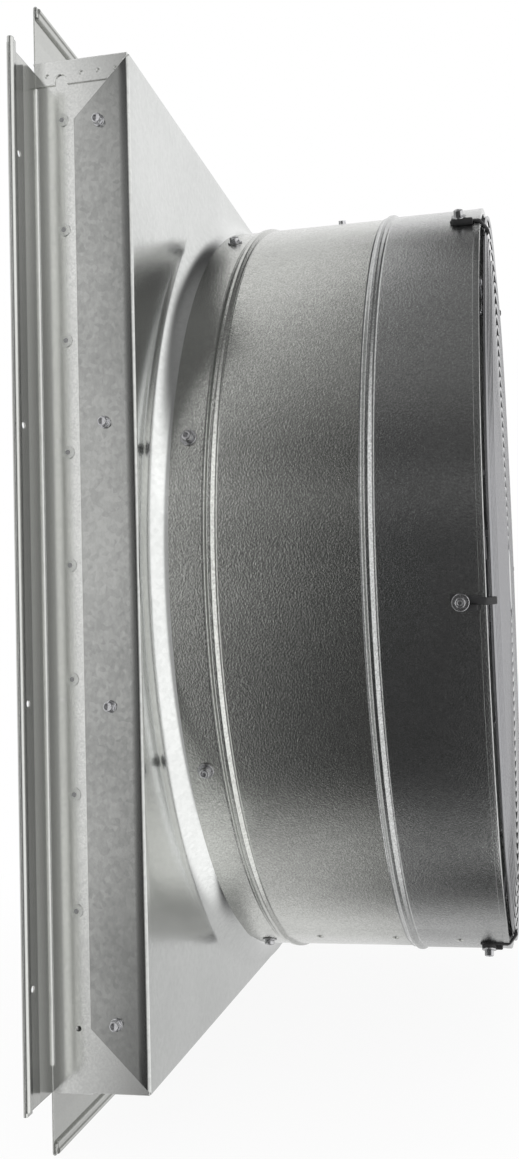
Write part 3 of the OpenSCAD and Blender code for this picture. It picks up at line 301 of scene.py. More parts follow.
# Hot-dip zinc: fine grain, small crystals and slow clouding, in their shares, add up to one tone. It takes
# the colour from dark to light and the roughness from high to low. Painted light zones paint the colour
# lighter or darker along x, or outwards from the fan axis along the box's sides, as painted light and shade,
# and the sheet's shading may lean from some distance outwards
def galvanizedSheet(name, look):
    material, tree, shader, place = startMaterial(name, 1.0, look["rough"][1])
    x, y, z = addNode(tree, "SeparateXYZ", {0: place}).outputs
    out = calculate(tree, "MAXIMUM", calculate(tree, "ABSOLUTE", y), calculate(tree, "ABSOLUTE", z))
    stretched = addNode(tree, "Mapping", {"Vector": place, "Scale": look["stretch"]}).outputs[0]
    grain = noise(tree, stretched, look["grainScale"], *look["grainDetail"])
    crystal = addNode(tree, "TexVoronoi", {"Vector": place, "Scale": look["crystalScale"]}).outputs["Color"]
    crystalTone = addNode(tree, "SeparateColor", {0: crystal}).outputs[0]
    cloud = noise(tree, place, look["cloudScale"], *look["cloudDetail"])
    patterns = zip((grain, crystalTone, cloud), look["shares"])
    tone = gather(tree, "ADD", [calculate(tree, "MULTIPLY", pattern, share) for pattern, share in patterns])
    level = carry(tree, tone, look["toneRange"], (0.0, 1.0))
    colour = blendColours(tree, level, look["dark"], look["light"])
    # painted light and shade: each zone blends the colour towards a lighter or darker pair along x or
    # outwards
    for part, start, end, dark, light in look["paintedLightZones"]:
        paintedLightShare = ramp(tree, {"x": x, "out": out}[part], start, end)
        colour = blendColours(tree, paintedLightShare, colour, blendColours(tree, level, dark, light))
    tree.links.new(colour, shader.inputs["Base Color"])
    tree.links.new(carry(tree, tone, look["toneRange"], look["rough"][::-1]), shader.inputs["Roughness"])
    lean = None
    if look["lean"] > 0:
        over = calculate(tree, "MAXIMUM", calculate(tree, "SUBTRACT", out, look["leanFrom"]), 0.0)
        lean = calculate(tree, "MULTIPLY", over, look["lean"])
    addRelief(tree, shader, grain, look["relief"], look["depth"], look["edge"], lean)
    return material


zincLook = {
    "grainScale": 620.0, "grainDetail": (3.0, 0.65), "cloudScale": 9.0, "cloudDetail": (4.0, 0.55),
    "crystalScale": 150.0, "shares": (0.72, 0.04, 0.24),     # of grain, crystals and clouding
    "toneRange": (0.38, 0.62), "stretch": (1, 1, 1), "paintedLightZones": (), "rough": (0.14, 0.20),
    "dark": (0.42, 0.425, 0.405), "light": (0.60, 0.605, 0.58),
    "relief": 0.62, "depth": 0.3 * mm, "edge": 0.0, "lean": 0.0,
}
boxSteel = galvanizedSheet("boxSteel", {
    **zincLook, "edge": 1.0 * mm, "relief": 0.02, "rough": (0.15, 0.2), "lean": 0.13, "leanFrom": 443 * mm,
    "dark": (0.50, 0.505, 0.49), "light": (0.56, 0.565, 0.545),
    "paintedLightZones": [("x", 3 * mm, 11 * mm, (0.77, 0.775, 0.76), (0.84, 0.845, 0.825))],     # painted light: the side is lighter past the bend, with painted shade by the bend and on the flange
})
panelSteel = galvanizedSheet("panelSteel", {
    **zincLook, "grainScale": 300.0, "crystalScale": 260.0, "shares": (0.34, 0.14, 0.52),
    "toneRange": (0.34, 0.66), "stretch": (1, 1, 0.6), "relief": 0.02,
    "dark": (0.59, 0.60, 0.59), "light": (0.67, 0.68, 0.67),
    "paintedLightZones": [("out", 418.5 * mm, 420.6 * mm, (0.39, 0.395, 0.385), (0.52, 0.525, 0.51))],     # painted shade: the lips are painted darker than the face
})
drumSteel = galvanizedSheet("drumSteel", zincLook)
rimSteel = galvanizedSheet("rimSteel", {
    **zincLook, "dark": (0.35, 0.355, 0.35), "light": (0.50, 0.505, 0.50),
})
railSteel = galvanizedSheet("railSteel", {**zincLook, "edge": 0.8 * mm})
bladeSteel = galvanizedSheet("bladeSteel", {
    **zincLook, "dark": (0.5, 0.51, 0.52), "light": (0.68, 0.69, 0.7),
})

polish = {
    "scale": 240.0, "darker": 0.82, "rougher": (-0.06, 0.10),     # dull spots and what they do
    "fineScale": 1500.0, "relief": 0.08, "depth": 0.1 * mm,
}


# Plated or bright metal: noise darkens the colour by a share and shifts the roughness, over a fine relief
def brightMetal(name, colour, roughness, edge=0.0):
    material, tree, shader, place = startMaterial(name, 1.0, roughness)
    dull = noise(tree, place, polish["scale"], 3.0)
    darker = tuple(polish["darker"] * value for value in colour)
    tree.links.new(blendColours(tree, dull, darker, colour), shader.inputs["Base Color"])
    rough = carry(tree, dull, (0.0, 1.0), [roughness + shift for shift in polish["rougher"]])
    tree.links.new(rough, shader.inputs["Roughness"])
    fine = noise(tree, place, polish["fineScale"], 2.0)
    addRelief(tree, shader, fine, polish["relief"], polish["depth"], edge)
    return material


fastenerZinc = brightMetal("fastenerZinc", (0.66, 0.66, 0.68), 0.26, 0.3 * mm)
boltZinc = brightMetal("boltZinc", (0.50, 0.50, 0.51), 0.24, 0.3 * mm)
bushingZinc = brightMetal("bushingZinc", (0.84, 0.85, 0.83), 0.2)
wireZinc = brightMetal("wireZinc", (0.30, 0.30, 0.31), 0.20)
rodSteel = brightMetal("rodSteel", (0.58, 0.58, 0.60), 0.3)
groundSteel = brightMetal("groundSteel", (0.70, 0.70, 0.71), 0.16)
louverAluminium = brightMetal("louverAluminium", (0.78, 0.785, 0.80), 0.34)
canAluminium = brightMetal("canAluminium", (0.74, 0.74, 0.75), 0.28, 0.6 * mm)


# Rubber, paint or plastic: a mottle six times coarser than the fine relief goes from dark to light
def plainFinish(name, look):
    material, tree, shader, place = startMaterial(name, 0.0, look["rough"])
    mottle = noise(tree, place, look["scale"] / 6, 4.0)
    tree.links.new(blendColours(tree, mottle, look["dark"], look["light"]), shader.inputs["Base Color"])
    fine = noise(tree, place, look["scale"], 2.0)
    addRelief(tree, shader, fine, look["relief"], look["depth"], look["edge"])
    return material


clipRubber = plainFinish("clipRubber", {
    "dark": (0.012, 0.012, 0.013), "light": (0.030, 0.030, 0.031), "rough": 0.62,
    "scale": 900.0, "relief": 0.25, "depth": 0.3 * mm, "edge": 0.0,
})
motorEnamel = plainFinish("motorEnamel", {
    "dark": (0.045, 0.046, 0.05), "light": (0.075, 0.077, 0.082), "rough": 0.36,
    "scale": 700.0, "relief": 0.10, "depth": 0.3 * mm, "edge": 1.2 * mm,
})
hubPaint = plainFinish("hubPaint", {
    "dark": (0.05, 0.05, 0.052), "light": (0.085, 0.085, 0.088), "rough": 0.5,
    "scale": 420.0, "relief": 0.4, "depth": 0.3 * mm, "edge": 1.0 * mm,
})
conduitSkin = plainFinish("conduitSkin", {
    "dark": (0.03, 0.03, 0.032), "light": (0.05, 0.05, 0.053), "rough": 0.45,
    "scale": 800.0, "relief": 0.15, "depth": 0.3 * mm, "edge": 0.0,
})


# Lines in two tones that also make the relief: edges of core plates, or turns of winding wire
def linedFinish(name, look):
    material, tree, shader, place = startMaterial(name, look["metallic"], look["rough"])
    lines = addNode(tree, "TexWave", {"Vector": place, "Scale": look["scale"], "Distortion": look["wander"]},
                    **look["run"]).outputs[1]
    tree.links.new(blendColours(tree, lines, look["dark"], look["light"]), shader.inputs["Base Color"])
    addRelief(tree, shader, lines, look["relief"], look["depth"])
    return material


coreSteel = linedFinish("coreSteel", {
    "metallic": 0.9, "rough": 0.42, "scale": 320.0, "wander": 0.4, "run": {"bands_direction": "X"},
    "dark": (0.10, 0.10, 0.11), "light": (0.34, 0.34, 0.36), "relief": 0.5, "depth": 0.3 * mm,
})
windingCopper = linedFinish("windingCopper", {
    "metallic": 0.85, "rough": 0.3, "scale": 260.0, "wander": 3.0,
    "run": {"wave_type": "RINGS", "rings_direction": "X"},
    "dark": (0.16, 0.05, 0.02), "light": (0.62, 0.26, 0.11), "relief": 0.6, "depth": 0.4 * mm,
})

finishOf = {
    "galvanized_box": boxSteel, "galvanized_panel": panelSteel, "galvanized_drum": drumSteel,
    "galvanized_rim": rimSteel, "galvanized_rails": railSteel, "zinc_fasteners": fastenerZinc,
    "motor_paint": motorEnamel, "core_steel": coreSteel, "winding_copper": windingCopper,
    "bright_steel": groundSteel, "capacitor_can": canAluminium, "black_rubber": clipRubber,
    "lead_conduit": conduitSkin, "guard_wire": wireZinc, "blade_steel": bladeSteel,
    "hub_iron": hubPaint, "louver_aluminium": louverAluminium, "rod_steel": rodSteel,
}
slotOf = {part["node"]: part["material_slot"] for part in frame["record"]["subparts"]}
for node, piece in frame["nodes"].items():
    for holder in piece.material_slots:
        holder.material = bushingZinc if node == "pivot_bushings" else finishOf[slotOf[node]]
print("materials ready")

# A shape is (points, list of face arrays). Its faces close it, and buildPiece turns them outwards.
joinReach = 1e-7     # metres within which points become one


# Quads between neighbouring lines of a grid of points that is numbered line by line
def gridQuads(lines, across, closeLines=False, closeAcross=False):
    i, j = np.meshgrid(np.arange(lines if closeLines else lines - 1),
                       np.arange(across if closeAcross else across - 1), indexing="ij")
    i2, j2 = (i + 1) % lines, (j + 1) % across
    return np.stack([i * across + j, i * across + j2, i2 * across + j2, i2 * across + j], -1).reshape(-1, 4)


# A loft through rings of points, closed by a flat face at each end
def loft(rings):
    rings = np.asarray(rings, float)
    count, around = rings.shape[:2]
    ends = [np.arange(around)[None, ::-1], np.arange(around)[None] + (count - 1) * around]
    return rings.reshape(-1, 3), [gridQuads(count, around, closeAcross=True), *ends]


# A closed plate between two grids of points that share their outline
def plateBetween(upper, lower):
    lines, across = upper.shape[:2]
    count = lines * across
    grid = np.arange(count).reshape(lines, across)
    rim = np.concatenate([grid[0, :-1], grid[:-1, -1], grid[-1, :0:-1], grid[:0:-1, 0]])
    after = np.roll(rim, -1)
    quads = gridQuads(lines, across)
    sides = np.stack([after, rim, rim + count, after + count], -1)
    points = np.concatenate([upper.reshape(-1, 3), lower.reshape(-1, 3)])
    return points, [quads, quads[:, ::-1] + count, sides]


# Signed volume of a closed shape, from a fan of triangles on each face
def signedVolume(points, faces):
    total = 0.0
    for block in faces:
        first = points[block[:, 0]]
        for k in range(1, block.shape[1] - 1):
            total += np.einsum("ij,ij->", first, np.cross(points[block[:, k]], points[block[:, k + 1]]))
    return total


# A shape whose faces are turned over if its volume comes out negative
def outward(shape):
    points, faces = shape
    if signedVolume(points - points.mean(axis=0), faces) > 0:
        return shape
    return points, [block[:, ::-1] for block in faces]


# Makes one object of closed shapes, placed in its mesh. Edges sharper than crease degrees stay sharp
def buildPiece(name, shapes, material, nodes, body="housing", crease=40, closed=True):
    if closed:
        shapes = [outward(shape) for shape in shapes]
    starts = np.cumsum([0] + [len(points) for points, faces in shapes])
    blocks = [block + start for (points, faces), start in zip(shapes, starts) for block in faces]
    sizes = np.concatenate([np.full(len(block), block.shape[1]) for block in blocks])
    corners = np.concatenate([block.ravel() for block in blocks])
    mesh = bpy.data.meshes.new(name)
    mesh.vertices.add(starts[-1])
    mesh.vertices.foreach_set("co", np.concatenate([points for points, faces in shapes]).ravel())
    mesh.loops.add(len(corners))
    mesh.loops.foreach_set("vertex_index", corners)
    mesh.polygons.add(len(sizes))
    mesh.polygons.foreach_set("loop_start", np.concatenate([[0], np.cumsum(sizes)[:-1]]))
    mesh.polygons.foreach_set("loop_total", sizes)
    mesh.update(calc_edges=True)
    work = bmesh.new()
    work.from_mesh(mesh)
    bmesh.ops.remove_doubles(work, verts=work.verts, dist=joinReach)
    bmesh.ops.dissolve_degenerate(work, dist=joinReach / 10, edges=work.edges)
    work.to_mesh(mesh)
    work.free()
    mesh.shade_smooth()
    mesh.set_sharp_from_angle(angle=math.radians(crease))
    mesh.materials.append(material)
    piece = addObject(name, mesh)
    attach(piece, body)
    if nodes:
        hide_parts(*nodes)


# Evenly spaced angles of a full turn
def ringAngles(count):
    return np.arange(count) * 2 * np.pi / count


# An outline of (x, radius) pairs turned about the fan axis; lift adds to the radius at each angle.
# Angles are measured from the near side upwards: the point at angle a looks along (0, -cos a, sin a)
def turnedShell(outline, angles, lift=0.0):
    outline = np.asarray(outline, float)
    radius = outline[None, :, 1] + np.broadcast_to(lift, angles.shape)[:, None]
    points = np.stack([np.broadcast_to(outline[None, :, 0], radius.shape),
                       -radius * np.cos(angles)[:, None], radius * np.sin(angles)[:, None]], -1)
    return points.reshape(-1, 3), [gridQuads(len(angles), len(outline), closeLines=True, closeAcross=True)]


# Points of an arc from one angle to another, in degrees
def arc(centre, radius, start, end, count):
    a = np.radians(np.linspace(start, end, count))
    return np.stack([centre[0] + radius * np.cos(a), centre[1] + radius * np.sin(a)], -1)


# Directions square to a line of points, to its left
def leftOf(line):
    step = np.gradient(line, axis=0)
    step /= np.linalg.norm(step, axis=1, keepdims=True)
    return np.stack([-step[:, 1], step[:, 0]], -1)


# A closed outline: a line and its copy a wall thickness to the right
def walled(line, thickness):
    return np.concatenate([line, (line - thickness * leftOf(line))[::-1]])


# Rows of a turn that takes local x, y, z to the fan axis, the tangent and outwards at an angle in degrees
def drumBasis(angle):
    a = math.radians(angle)
    return np.array([[1, 0, 0], [0, math.sin(a), math.cos(a)], [0, -math.cos(a), math.sin(a)]])


# A shape turned so that its x, y and z run along a basis's rows, then shifted
def moved(shape, basis=np.eye(3), origin=(0, 0, 0)):
    points, faces = shape
    return points @ basis + np.asarray(origin), faces


# A shape that stands outwards at x, an angle and a distance from the axis, shifted along the tangent
def standing(shape, x, angle, out, along=0.0):
    basis = drumBasis(angle)
    return moved(shape, basis, np.array([x, 0, 0]) + along * basis[1] + out * basis[2])


# A round of (radius, height) pairs turned about local z
def lathe(profile, sides=32):
    a = ringAngles(sides)
    return loft([np.stack([r * np.cos(a), r * np.sin(a), np.full(sides, z)], -1) for r, z in profile])


# Radius of a regular hexagon at each angle, for a corner radius of 1
def hexRadius(a):
    return math.cos(math.pi / 6) / np.cos(a % (math.pi / 3) - math.pi / 6)


# A hexagonal prism of (corner radius, height) pairs; roundness 1 makes a ring a circle
def hexStack(rings, sides=36):
    a = ringAngles(sides)
    out = []
    for r, z, roundness in rings:
        radius = r * (roundness + (1 - roundness) * hexRadius(a))
        out.append(np.stack([radius * np.cos(a), radius * np.sin(a), np.full(sides, z)], -1))
    return loft(out)


# A rounded rectangle outline, corner by corner
def roundedRectangle(width, height, radius, steps=4):
    x, y = width / 2 - radius, height / 2 - radius
    return np.concatenate([arc((x, y), radius, 0, 90, steps), arc((-x, y), radius, 90, 180, steps),
                           arc((-x, -y), radius, 180, 270, steps), arc((x, -y), radius, 270, 360, steps)])


# A section swept along points, each ring square to the path; up fixes the section's second axis
def swept(path, section, up):
    path = np.asarray(path, float)
    ahead = np.gradient(path, axis=0)
    ahead /= np.linalg.norm(ahead, axis=1, keepdims=True)
    side = np.cross(ahead, up)
    side /= np.linalg.norm(side, axis=1, keepdims=True)
    above = np.cross(side, ahead)
    rings = path[:, None] + section[None, :, :1] * side[:, None] + section[None, :, 1:] * above[:, None]
    return loft(rings)


# A torus round the fan axis
def wireRing(x, radius, wire, around, sides):
    a = ringAngles(sides)
    outline = np.stack([x + wire * np.cos(a), radius + wire * np.sin(a)], -1)
    return turnedShell(outline, ringAngles(around))


boxEdge = {
    "half": 420 * mm, "bend": 2.2 * mm, "bendEnd": 399.5 * mm,     # radius and half length of a bend
    "sink": 0.4 * mm,     # how far bends and hems reach into the sheet
    "inner": 460.0 * mm, "lip": 1.3 * mm, "top": 2.9 * mm, "hemEnd": 417 * mm,     # a hem's inner edge
    "roll": 2.7 * mm, "rollOut": 467.2 * mm, "rollX": 1.5 * mm, "rollStart": -58.0, "back": -1.2 * mm,
}


# A strip along one side of the box with an outline in x and distance from the axis
def alongSide(outline, side, end):
    outline = np.asarray(outline, float)
    rings = [np.stack([outline[:, 0], np.full(len(outline), s), outline[:, 1]], -1) for s in (-end, end)]
    return moved(loft(rings), drumBasis(90 * side))


# The round inside bend between each side and its flange, and the rolled hem along each flange's edge: arcs
# joined by straight lines, carried along each of the four sides
def makeBoxEdges():
    half, r, sink = boxEdge["half"], boxEdge["bend"], boxEdge["sink"]
    corner = [[r, half - sink], [-sink, half - sink], [-sink, half + r]]
    bend = np.concatenate([arc((r, half + r), r, 180, 270, 12), corner])
    lip, inner, top = boxEdge["lip"], boxEdge["inner"], boxEdge["top"]
    roll = arc((boxEdge["rollX"], boxEdge["rollOut"]), boxEdge["roll"], boxEdge["rollStart"], 180, 20)
    back = [[boxEdge["back"], inner + 3 * lip], [-sink, inner + 3 * lip]]
    hem = np.concatenate([[[-sink, inner]], arc((top - lip, inner + lip), lip, 270, 360, 6), roll, back])
    bends = [alongSide(bend, side, boxEdge["bendEnd"]) for side in range(4)]
    hems = [alongSide(hem, side, boxEdge["hemEnd"]) for side in range(4)]
    buildPiece("boxBends", bends, boxSteel, ())
    buildPiece("flangeHems", hems, boxSteel, ())


makeBoxEdges()
print("box edges ready")

panel = {
    "neck": 396.1 * mm, "fillet": 24 * mm, "fold": 3.0 * mm, "sheet": 1.2 * mm,
    "lipEnd": 418 * mm,     # half length of a lip at the fold
    "chamfer": 336 * mm,     # a lip's half length is this plus x along its slanted ends
    "rows": {"neck": 4, "fillet": 13, "face": 10, "fold": 8, "lip": 8}, "across": 49,
}


# Profile of the pressed sheet from the neck's end through the fillet and the flat face to the fold and down
# the lip. Each row is x, distance from the axis, the two parts of its outward direction, and whether that
# distance is to a round (0) or to a square's side (1)
def panelProfile():
    face, side, lipEdge = panelHigh[0], panelHigh[1], panelLow[0]
    neck, fillet, fold, count = panel["neck"], panel["fillet"], panel["fold"], panel["rows"]
    rows = [(x, neck, 0, 1, 0) for x in np.linspace(bellHigh[0], face + fillet, count["neck"])[:-1]]
    for a in np.radians(np.linspace(90, 0, count["fillet"])):
        c, s = math.cos(a), math.sin(a)
        rows.append((face + fillet * (1 - c), neck + fillet * (1 - s), c, s, 0))
    rows += [(face, neck + fillet, 1, 0, share) for share in np.linspace(0, 1, count["face"])[1:]]
    for a in np.radians(np.linspace(0, 90, count["fold"])[1:]):
        c, s = math.cos(a), math.sin(a)
        rows.append((face - fold * (1 - c), side - fold * (1 - s), c, s, 1))
    rows += [(x, side, 0, 1, 1) for x in np.linspace(face - fold, lipEdge, count["lip"])[1:]]
    return np.array(rows)


# Both faces of one quarter of the panel: each row of the profile runs over a quarter turn, from a round to a
# square by its last share, and rims close the neck's end and the lip
def panelQuarter(side):
    rows = panelProfile()
    a = np.radians(np.linspace(-45, 45, panel["across"]))
    flat = panelHigh[1] - panel["fold"]
    isLip = (rows[:, 4] == 1) & (rows[:, 0] < panelHigh[0] - joinReach)
    grids = []
    for depth in (0.0, panel["sheet"]):
        x = rows[:, 0] - depth * rows[:, 2]
        out = rows[:, 1] - depth * rows[:, 3]
        roundOut, roundRun = out[:, None] * np.cos(a), out[:, None] * np.sin(a)
        half = np.where(isLip, np.minimum(panel["lipEnd"], panel["chamfer"] + rows[:, 0]), flat)
        squareOut = np.repeat(np.where(isLip, out, flat)[:, None], len(a), 1)
        squareRun = half[:, None] * np.tan(a)
        share = rows[:, 4:5]
        spot = np.stack([np.repeat(x[:, None], len(a), 1), roundRun + (squareRun - roundRun) * share,
                         roundOut + (squareOut - roundOut) * share], -1)
        grids.append(spot.reshape(-1, 3) @ drumBasis(90 * side))
    count = len(rows) * len(a)
    grid = np.arange(count).reshape(len(rows), len(a))
    quads = gridQuads(len(rows), len(a))
    first = int(np.argmax(isLip)) - 1
    rims = []
    for rim in (grid[0], grid[-1][::-1], grid[first:, 0][::-1], grid[first:, -1]):
        rims.append(np.stack([rim[1:], rim[:-1], rim[:-1] + count, rim[1:] + count], -1))
    return np.concatenate(grids), [quads, quads[:, ::-1] + count, *rims]


# Four quarters that share their edges. A quarter isn't closed by itself, so its two faces without their rims
# tell whether it is inside out
def makePanel():
    quarters = [panelQuarter(side) for side in range(4)]
    points, faces = quarters[0]
    if signedVolume(points - points.mean(axis=0), faces[:2]) < 0:
        quarters = [(points, [block[:, ::-1] for block in faces]) for points, faces in quarters]
    buildPiece("bellMouthPanel", quarters, panelSteel, ("venturi_panel", "bell_mouth"), closed=False)


makePanel()
print("panel ready")

drum = {
    "radius": 397.4 * mm, "wall": 1.2 * mm,
    "bead1": 133.5 * mm, "bead2": 264 * mm,
    "beadHalf": 4.1 * mm, "beadHigh": 2.3 * mm, "beadFlat": 0.33, "beadCrest": 0.15,
    "groove": 0.30 * mm, "grooveEnd": 6.4 * mm, "beadReach": 1.15, "beadLines": 33, "wallLines": 14,
    "rimRadius": 398.7 * mm, "rimFold": 2.9 * mm,     # half of the rim's reach inwards
    "seamAngle": -64.7, "seamSweep": 1.73, "seamEase": 4.0,
    "window": 22.2 * mm, "windowAngle": 200.0, "windowX": 241.5 * mm,     # for the cable's bushing
    "band": 5.7 * mm, "step": 0.25 * mm, "corner": 0.9 * mm,     # the flat band at the rim
    "columns": 360, "firstColumn": 0.02, "lastColumn": 359.9,     # degrees past the seam's lower edge
}


# Height of a bead above the wall: a narrow flat crest between two straight flanks, and a shallow groove at
# the foot of each flank
def beadHeight(offset):
    u = np.abs(offset)
    t = np.clip((u / drum["beadHalf"] - drum["beadFlat"]) / (1 - drum["beadFlat"]), 0, 1)
    crest = drum["beadCrest"]
    slope = (np.sqrt(t * t + crest ** 2) - crest) / (math.sqrt(1 + crest ** 2) - crest)
    crown = drum["beadHigh"] * (1 - slope)
    v = np.clip((u - drum["beadHalf"]) / (drum["grooveEnd"] - drum["beadHalf"]), 0, 1)
    return crown - drum["groove"] * np.sin(np.pi * v) ** 2


# Angles round the drum with a doubled line at the seam's lower edge, and the lift of the outer sheet there
def seamAngles(others=()):
    edge = math.radians(drum["seamAngle"])
    turns = np.linspace(drum["firstColumn"], drum["lastColumn"], drum["columns"])
    angles = np.sort(np.concatenate([[edge], edge + np.radians(turns), others]))
    turn = np.degrees(angles - edge)
    lift = drum["wall"] * (1 - np.clip((turn - drum["seamSweep"]) / drum["seamEase"], 0, 1))
    lift[0] = 0
    return angles, lift


# Places of the turned lines along x, closer together over a bead
def xLine(start, end, bead):
    reach = drum["beadReach"] * drum["grooveEnd"]
    near = bead + np.linspace(-reach, reach, drum["beadLines"])
    x = np.unique(np.round(np.concatenate([np.linspace(start, end, drum["wallLines"]), near]), 7))
    return x[(x >= start) & (x <= end)]


# Takes the quads between two angles and two x values out of both faces of a turned sheet and lines the hole
def openWindow(shape, angles, x, turns, ends):
    points, faces = shape
    around = 2 * len(x)
    rows, columns = (np.flatnonzero((line > low - joinReach) & (line < high + joinReach))[[0, -1]]
                     for line, (low, high) in ((angles, turns), (x, ends)))
    kept = np.ones((len(angles), around), bool)
    kept[rows[0]:rows[1], columns[0]:columns[1]] = False
    kept[rows[0]:rows[1], around - 1 - columns[1]:around - 1 - columns[0]] = False
    run, climb = np.arange(columns[0], columns[1]), np.arange(rows[0], rows[1])
    edge = np.array([(rows[0], j) for j in run] + [(i, columns[1]) for i in climb]
                    + [(rows[1], j) for j in run[::-1] + 1] + [(i, columns[0]) for i in climb[::-1] + 1])
    outer = edge[:, 0] * around + edge[:, 1]
    inner = edge[:, 0] * around + around - 1 - edge[:, 1]
    lining = np.stack([outer, np.roll(outer, -1), np.roll(inner, -1), inner], -1)
    return points, [faces[0][kept.ravel()], lining]


# The first section: one bead, and the square window that the cable's bushing fills
def makeDrum():
    half = drum["window"] / 2
    middle, swing = math.radians(drum["windowAngle"]), math.asin(half / drum["radius"])
    turns, ends = (middle - swing, middle + swing), (drum["windowX"] - half, drum["windowX"] + half)
    x = np.unique(np.concatenate([xLine(drumLow[0], drumHigh[0], drum["bead1"]), ends]))
    line = np.stack([x, drum["radius"] + beadHeight(x - drum["bead1"])], -1)
    angles, lift = seamAngles(turns)
    shell = openWindow(turnedShell(walled(line, drum["wall"]), angles, lift), angles, x, turns, ends)
    buildPiece("drumWall", [shell], drumSteel, ("drum",))


# The second section: one bead, and a rim folded inwards as a flat band with two round corners
def makeDrumExtension():
    end, band, corner, wall = rimHigh[0], rimHigh[0] - drum["band"], drum["corner"], drum["wall"]
    top, foot = drum["rimRadius"] + drum["step"], drum["rimRadius"] - 2 * drum["rimFold"]
    x = xLine(rimLow[0], band, drum["bead2"])
    line = np.stack([x, drum["rimRadius"] + beadHeight(x - drum["bead2"])], -1)
    hem = np.concatenate([[(band + drum["step"], top)], arc((end - corner, top - corner), corner, 90, 0, 7),
                          arc((end - corner, foot + corner), corner, 0, -90, 5), [(band + wall, foot)],
                          [(band, foot + wall)]])
    inside = line[::-1] - (0, wall)
    angles, lift = seamAngles()
    shell = turnedShell(np.concatenate([line, hem, inside]), angles, lift)
    buildPiece("drumRim", [shell], rimSteel, ("drum_extension",))


makeDrum()
makeDrumExtension()
print("drum ready")

lipScrew = {
    "washer": 5.2 * mm, "washerHigh": 1.0 * mm, "hex": 4.5 * mm, "hexHigh": 4.0 * mm, "shank": 2.1 * mm,
    "reach": 12 * mm, "x": 55 * mm, "turn": 17.0, "places": (-365.6 * mm, -115 * mm, 115 * mm, 365.6 * mm),
}


# A hexagon head with a dished top over a washer, and a shank with a blunt point
def hexWasherHead(look):
    w, t, h, s = look["washer"], look["washerHigh"], look["hex"], look["shank"]
    top = t + look["hexHigh"]
    head = hexStack([(h, 0.2 * t, 0), (h, top - 0.5 * mm, 0), (0.93 * h, top - 0.12 * mm, 0.6),
                     (0.8 * h, top, 1), (0.55 * h, top, 1), (0.42 * h, top - 0.35 * mm, 1)])
    washer = lathe([(0.98 * w, 0), (w, 0.3 * t), (0.97 * w, 0.75 * t), (0.86 * w, t), (0.5 * w, 1.25 * t)])
    shank = lathe([(0.3 * s, -look["reach"]), (s, -0.8 * look["reach"]), (s, 0.2 * t)], 20)
    return [head, washer, shank]


# Four screws along each of the panel's lips, each turned a little further than the one before
def makeLipScrews():
    shapes = []
    for side in range(4):
        for k, s in enumerate(lipScrew["places"]):
            turn = math.radians(lipScrew["turn"] * (4 * side + k))
            c, d = math.cos(turn), math.sin(turn)
            basis = np.array([[c, d, 0], [-d, c, 0], [0, 0, 1]])
            for shape in hexWasherHead(lipScrew):
                shapes.append(standing(moved(shape, basis), lipScrew["x"], 90 * side, panelHigh[1], s))
    buildPiece("lipScrews", shapes, fastenerZinc, ("panel_screws",), crease=32)


collarBolt = {
    "x": 113.5 * mm, "top": 56.7, "pitch": 41.3, "count": 4,     # four on each half, by degrees
    "washer": 7.1 * mm, "washerHigh": 1.4 * mm, "washerEdge": (0.2 * mm, 0.25 * mm, 0.3 * mm),
    "head": 4.8 * mm, "headHigh": 4.6 * mm, "socket": 2.1 * mm, "shank": 3.0 * mm,
    "nut": 5.6 * mm, "nutHigh": 5.0 * mm, "depth": 2.5 * mm,
}


# A given head on its washer, with a shank and a hexagon nut whose top is at a depth below the surface
def boltUnder(head, look):
    w, t, n, s = look["washer"], look["washerHigh"], look["nut"], look["shank"]
    foot, shoulder, rim = look["washerEdge"]
    high, bevel = -look["depth"], 0.5 * mm
    low = high - look["nutHigh"]
    washer = lathe([(w - 0.2 * mm, 0), (w, foot), (w, t - shoulder), (w - rim, t), (0.4 * w, t)], 40)
    nut = hexStack([(0.9 * n, low, 1), (n, low + bevel, 0), (n, high - bevel, 0), (0.9 * n, high, 1)])
    shank = lathe([(s - 0.4 * mm, low - 2 * bevel), (s, low - bevel), (s, t)], 24)
    return [washer, head, nut, shank]


# A round head with a hexagon socket half its height deep
def socketHead(look):
    t, h, s = look["washerHigh"], look["head"], look["socket"]
    top, floor = t + look["headHigh"], t + look["headHigh"] / 2
    return hexStack([(h, t, 1), (h, top - 1.2 * mm, 1), (h - 0.4 * mm, top - 0.4 * mm, 1),
                     (h - 1.2 * mm, top, 1), (s + 0.5 * mm, top, 1), (s, top - 0.2 * mm, 0),
                     (s, floor, 0), (0.2 * s, floor - 0.3 * mm, 0)])


# A hexagon head with a shallow round dish
def hexHead(look):
    t, h = look["washerHigh"], look["head"]
    top = t + look["headHigh"]
    return hexStack([(h, t, 0), (h, top - 0.7 * mm, 0), (0.94 * h, top - 0.2 * mm, 0.6), (0.82 * h, top, 1),
                     (0.5 * h, top, 1), (0.4 * h, top - 0.5 * mm, 1)])


# Bolts at equal angles down the near half of the drum, and again on the far half
def makeCollarBolts():
    shapes = []
    bolt = boltUnder(socketHead(collarBolt), collarBolt)
    for half in (0, 180):
        for k in range(collarBolt["count"]):
            angle = half + collarBolt["top"] - k * collarBolt["pitch"]
            shapes += [standing(shape, collarBolt["x"], angle, drum["radius"]) for shape in bolt]
    buildPiece("collarBolts", shapes, boltZinc, ("collar_bolts",), crease=32)


makeLipScrews()
makeCollarBolts()

seamRivet = {"head": 3.6 * mm, "high": 1.2 * mm, "xs": (170.5 * mm, 246 * mm, 309 * mm)}


